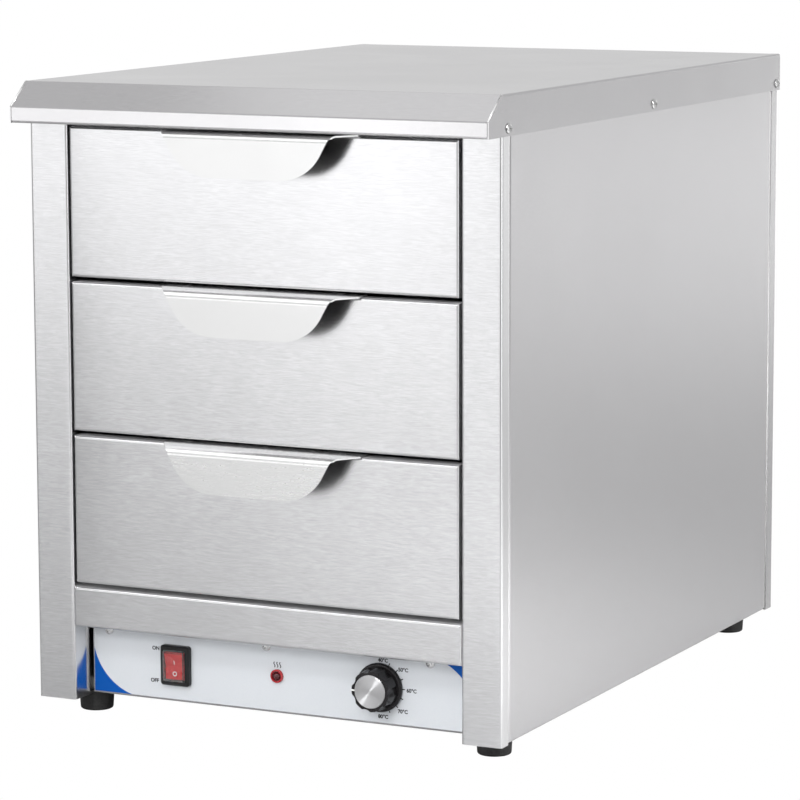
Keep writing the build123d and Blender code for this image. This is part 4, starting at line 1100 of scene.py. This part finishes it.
lid_low, lid_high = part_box("lid")
along_slope = Vector((0.0, SLOPE_RUN, SLOPE_DROP))
out_of_slope = Vector((0.0, -SLOPE_DROP, SLOPE_RUN)).normalized()
seam_length = along_slope.length - 2 * SEAM_END
seams = bmesh.new()
for side_x in (lid_low.x + SEAM_RADIUS, lid_high.x - SEAM_RADIUS):
    foot = Vector((side_x, lid_low.y, lid_high.z - SLOPE_DROP))
    middle = foot + along_slope / 2 - out_of_slope * SEAM_SINK
    turn = along_slope.to_track_quat("Z", "Y").to_matrix().to_4x4()
    add_bead(seams, Matrix.Translation(middle) @ turn, SEAM_RADIUS, seam_length, SEAM_SEGMENTS)
finish_piece(seams, "lid_seams", weld_bead, "cabinet", smooth=True)

# %% [markdown]
# The side panels end in a round bend, so a narrow groove is left where they meet the rear panel. A
# round bead of sealant fills it from top to bottom.

# %% Rear seams
GROOVE_RADIUS = 0.00063
GROOVE_SEGMENTS = 16
GROOVE_SINK = 0.0002

side_low, side_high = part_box("right_side_panel")
groove_x = side_high.x - GROOVE_SINK - GROOVE_RADIUS
groove_length = side_high.z - side_low.z
rear_seams = bmesh.new()
for side_x in (-groove_x, groove_x):
    middle = (side_x, side_high.y - GROOVE_RADIUS, (side_low.z + side_high.z) / 2)
    place = Matrix.Translation(middle)
    add_bead(rear_seams, place, GROOVE_RADIUS, groove_length, GROOVE_SEGMENTS)
finish_piece(rear_seams, "rear_seams", weld_bead, "cabinet", smooth=True)

# %% [markdown]
# ## Screw heads
# The domed screws have a cross recess. A head is a few rings of vertices that climb the dome, a
# cross-shaped loop at the crown, and the same loop pushed in and closed. Bridging one loop to the
# next makes all the faces.

# %% One screw head
HEAD_RADIUS = 0.0039
HEAD_FOOT = 0.82  # the head is undercut where it meets the sheet
HEAD_EDGE = 0.0003
HEAD_HEIGHT = 0.0022
HEAD_SEGMENTS = 24
DOME_STEPS = 5
DOME_ANGLE = math.radians(70)
CROSS_REACH = 0.5  # share of the head's radius
CROSS_HALF_WIDTH = 0.13
CROSS_DEPTH = 0.0011


def cross_loop(bm, place, height):
    """A closed cross of twelve vertices."""
    reach = CROSS_REACH * HEAD_RADIUS
    half = CROSS_HALF_WIDTH * HEAD_RADIUS
    corners = []
    for quarter in range(4):
        turn = Matrix.Rotation(quarter * math.pi / 2, 4, "Z")
        for x, y in ((half, -half), (reach, -half), (reach, half)):
            corners.append(bm.verts.new(place @ turn @ Vector((x, y, height))))
    for ends in zip(corners, corners[1:] + corners[:1]):
        bm.edges.new(ends)
    return corners


def add_screw_head(bm, place):
    """Adds one domed head that stands on the place's XY plane."""
    profile = [(HEAD_FOOT * HEAD_RADIUS, 0.0)]
    for step in range(DOME_STEPS):
        angle = step / DOME_STEPS * DOME_ANGLE
        rise = (HEAD_HEIGHT - HEAD_EDGE) * math.sin(angle)
        profile.append((HEAD_RADIUS * math.cos(angle), HEAD_EDGE + rise))
    rings = []
    for radius, height in profile:
        lifted = place @ Matrix.Translation((0.0, 0.0, height))
        circle = bmesh.ops.create_circle(bm, segments=HEAD_SEGMENTS, radius=radius, matrix=lifted)
        rings.append(circle["verts"])
    rings.append(cross_loop(bm, place, HEAD_HEIGHT))
    for lower, upper in zip(rings, rings[1:]):
        bmesh.ops.bridge_loops(bm, edges=loop_edges(lower) + loop_edges(upper))
    pushed = bmesh.ops.extrude_edge_only(bm, edges=loop_edges(rings[-1]))["geom"]
    floor_verts = only_verts(pushed)
    inward = place.to_3x3() @ Vector((0.0, 0.0, -CROSS_DEPTH))
    bmesh.ops.translate(bm, vec=inward, verts=floor_verts)
    bmesh.ops.edgeloop_fill(bm, edges=loop_edges(floor_verts))
    bmesh.ops.edgeloop_fill(bm, edges=loop_edges(rings[0]))


print("a head is", round(2000 * HEAD_RADIUS, 1), "mm wide")

# %% [markdown]
# Each screw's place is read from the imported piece. Its loose parts are the separate screws, and the
# longest side of a screw's box is its axis.

# %% Where the screws are
SAME_PLACE = 1e-6  # corners closer than this are one


def screw_boxes(node):
    """Lowest and highest corner of each separate screw of a node, found from its loose parts."""
    bm = bmesh.new()
    bm.from_mesh(nodes[node].data)
    bmesh.ops.remove_doubles(bm, verts=bm.verts, dist=SAME_PLACE)
    left = dict.fromkeys(bm.verts)
    boxes = []
    while left:
        screw = [left.popitem()[0]]
        for vertex in screw:
            for edge in vertex.link_edges:
                other = edge.other_vert(vertex)
                if other in left:
                    del left[other]
                    screw.append(other)
        low = Vector([min(vertex.co[axis] for vertex in screw) for axis in range(3)])
        high = Vector([max(vertex.co[axis] for vertex in screw) for axis in range(3)])
        boxes.append((low, high))
    bm.free()
    print(node, "screws", len(boxes))
    return boxes


def screw_places(node):
    """Seat and direction of every screw of a node: the head is at the far end from its shank."""
    places = []
    for low, high in screw_boxes(node):
        seat = (low + high) / 2
        span = high - low
        axis = max(range(3), key=lambda index: span[index])
        inwards = -1.0 if seat[axis] > 0 else 1.0
        seat[axis] = (high[axis] if inwards < 0 else low[axis]) + inwards * HEAD_HEIGHT
        outward = Vector((0.0, 0.0, 0.0))
        outward[axis] = -inwards
        turn = outward.to_track_quat("Z", "Y").to_matrix().to_4x4()
        places.append(Matrix.Translation(seat) @ turn)
    return places


for node, piece_name in (("lid_screws", "lid_screw_heads"), ("panel_screws", "panel_screw_heads")):
    heads = bmesh.new()
    for place in screw_places(node):
        add_screw_head(heads, place)
    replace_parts(finish_piece(heads, piece_name, plated_screw, "cabinet"), node)
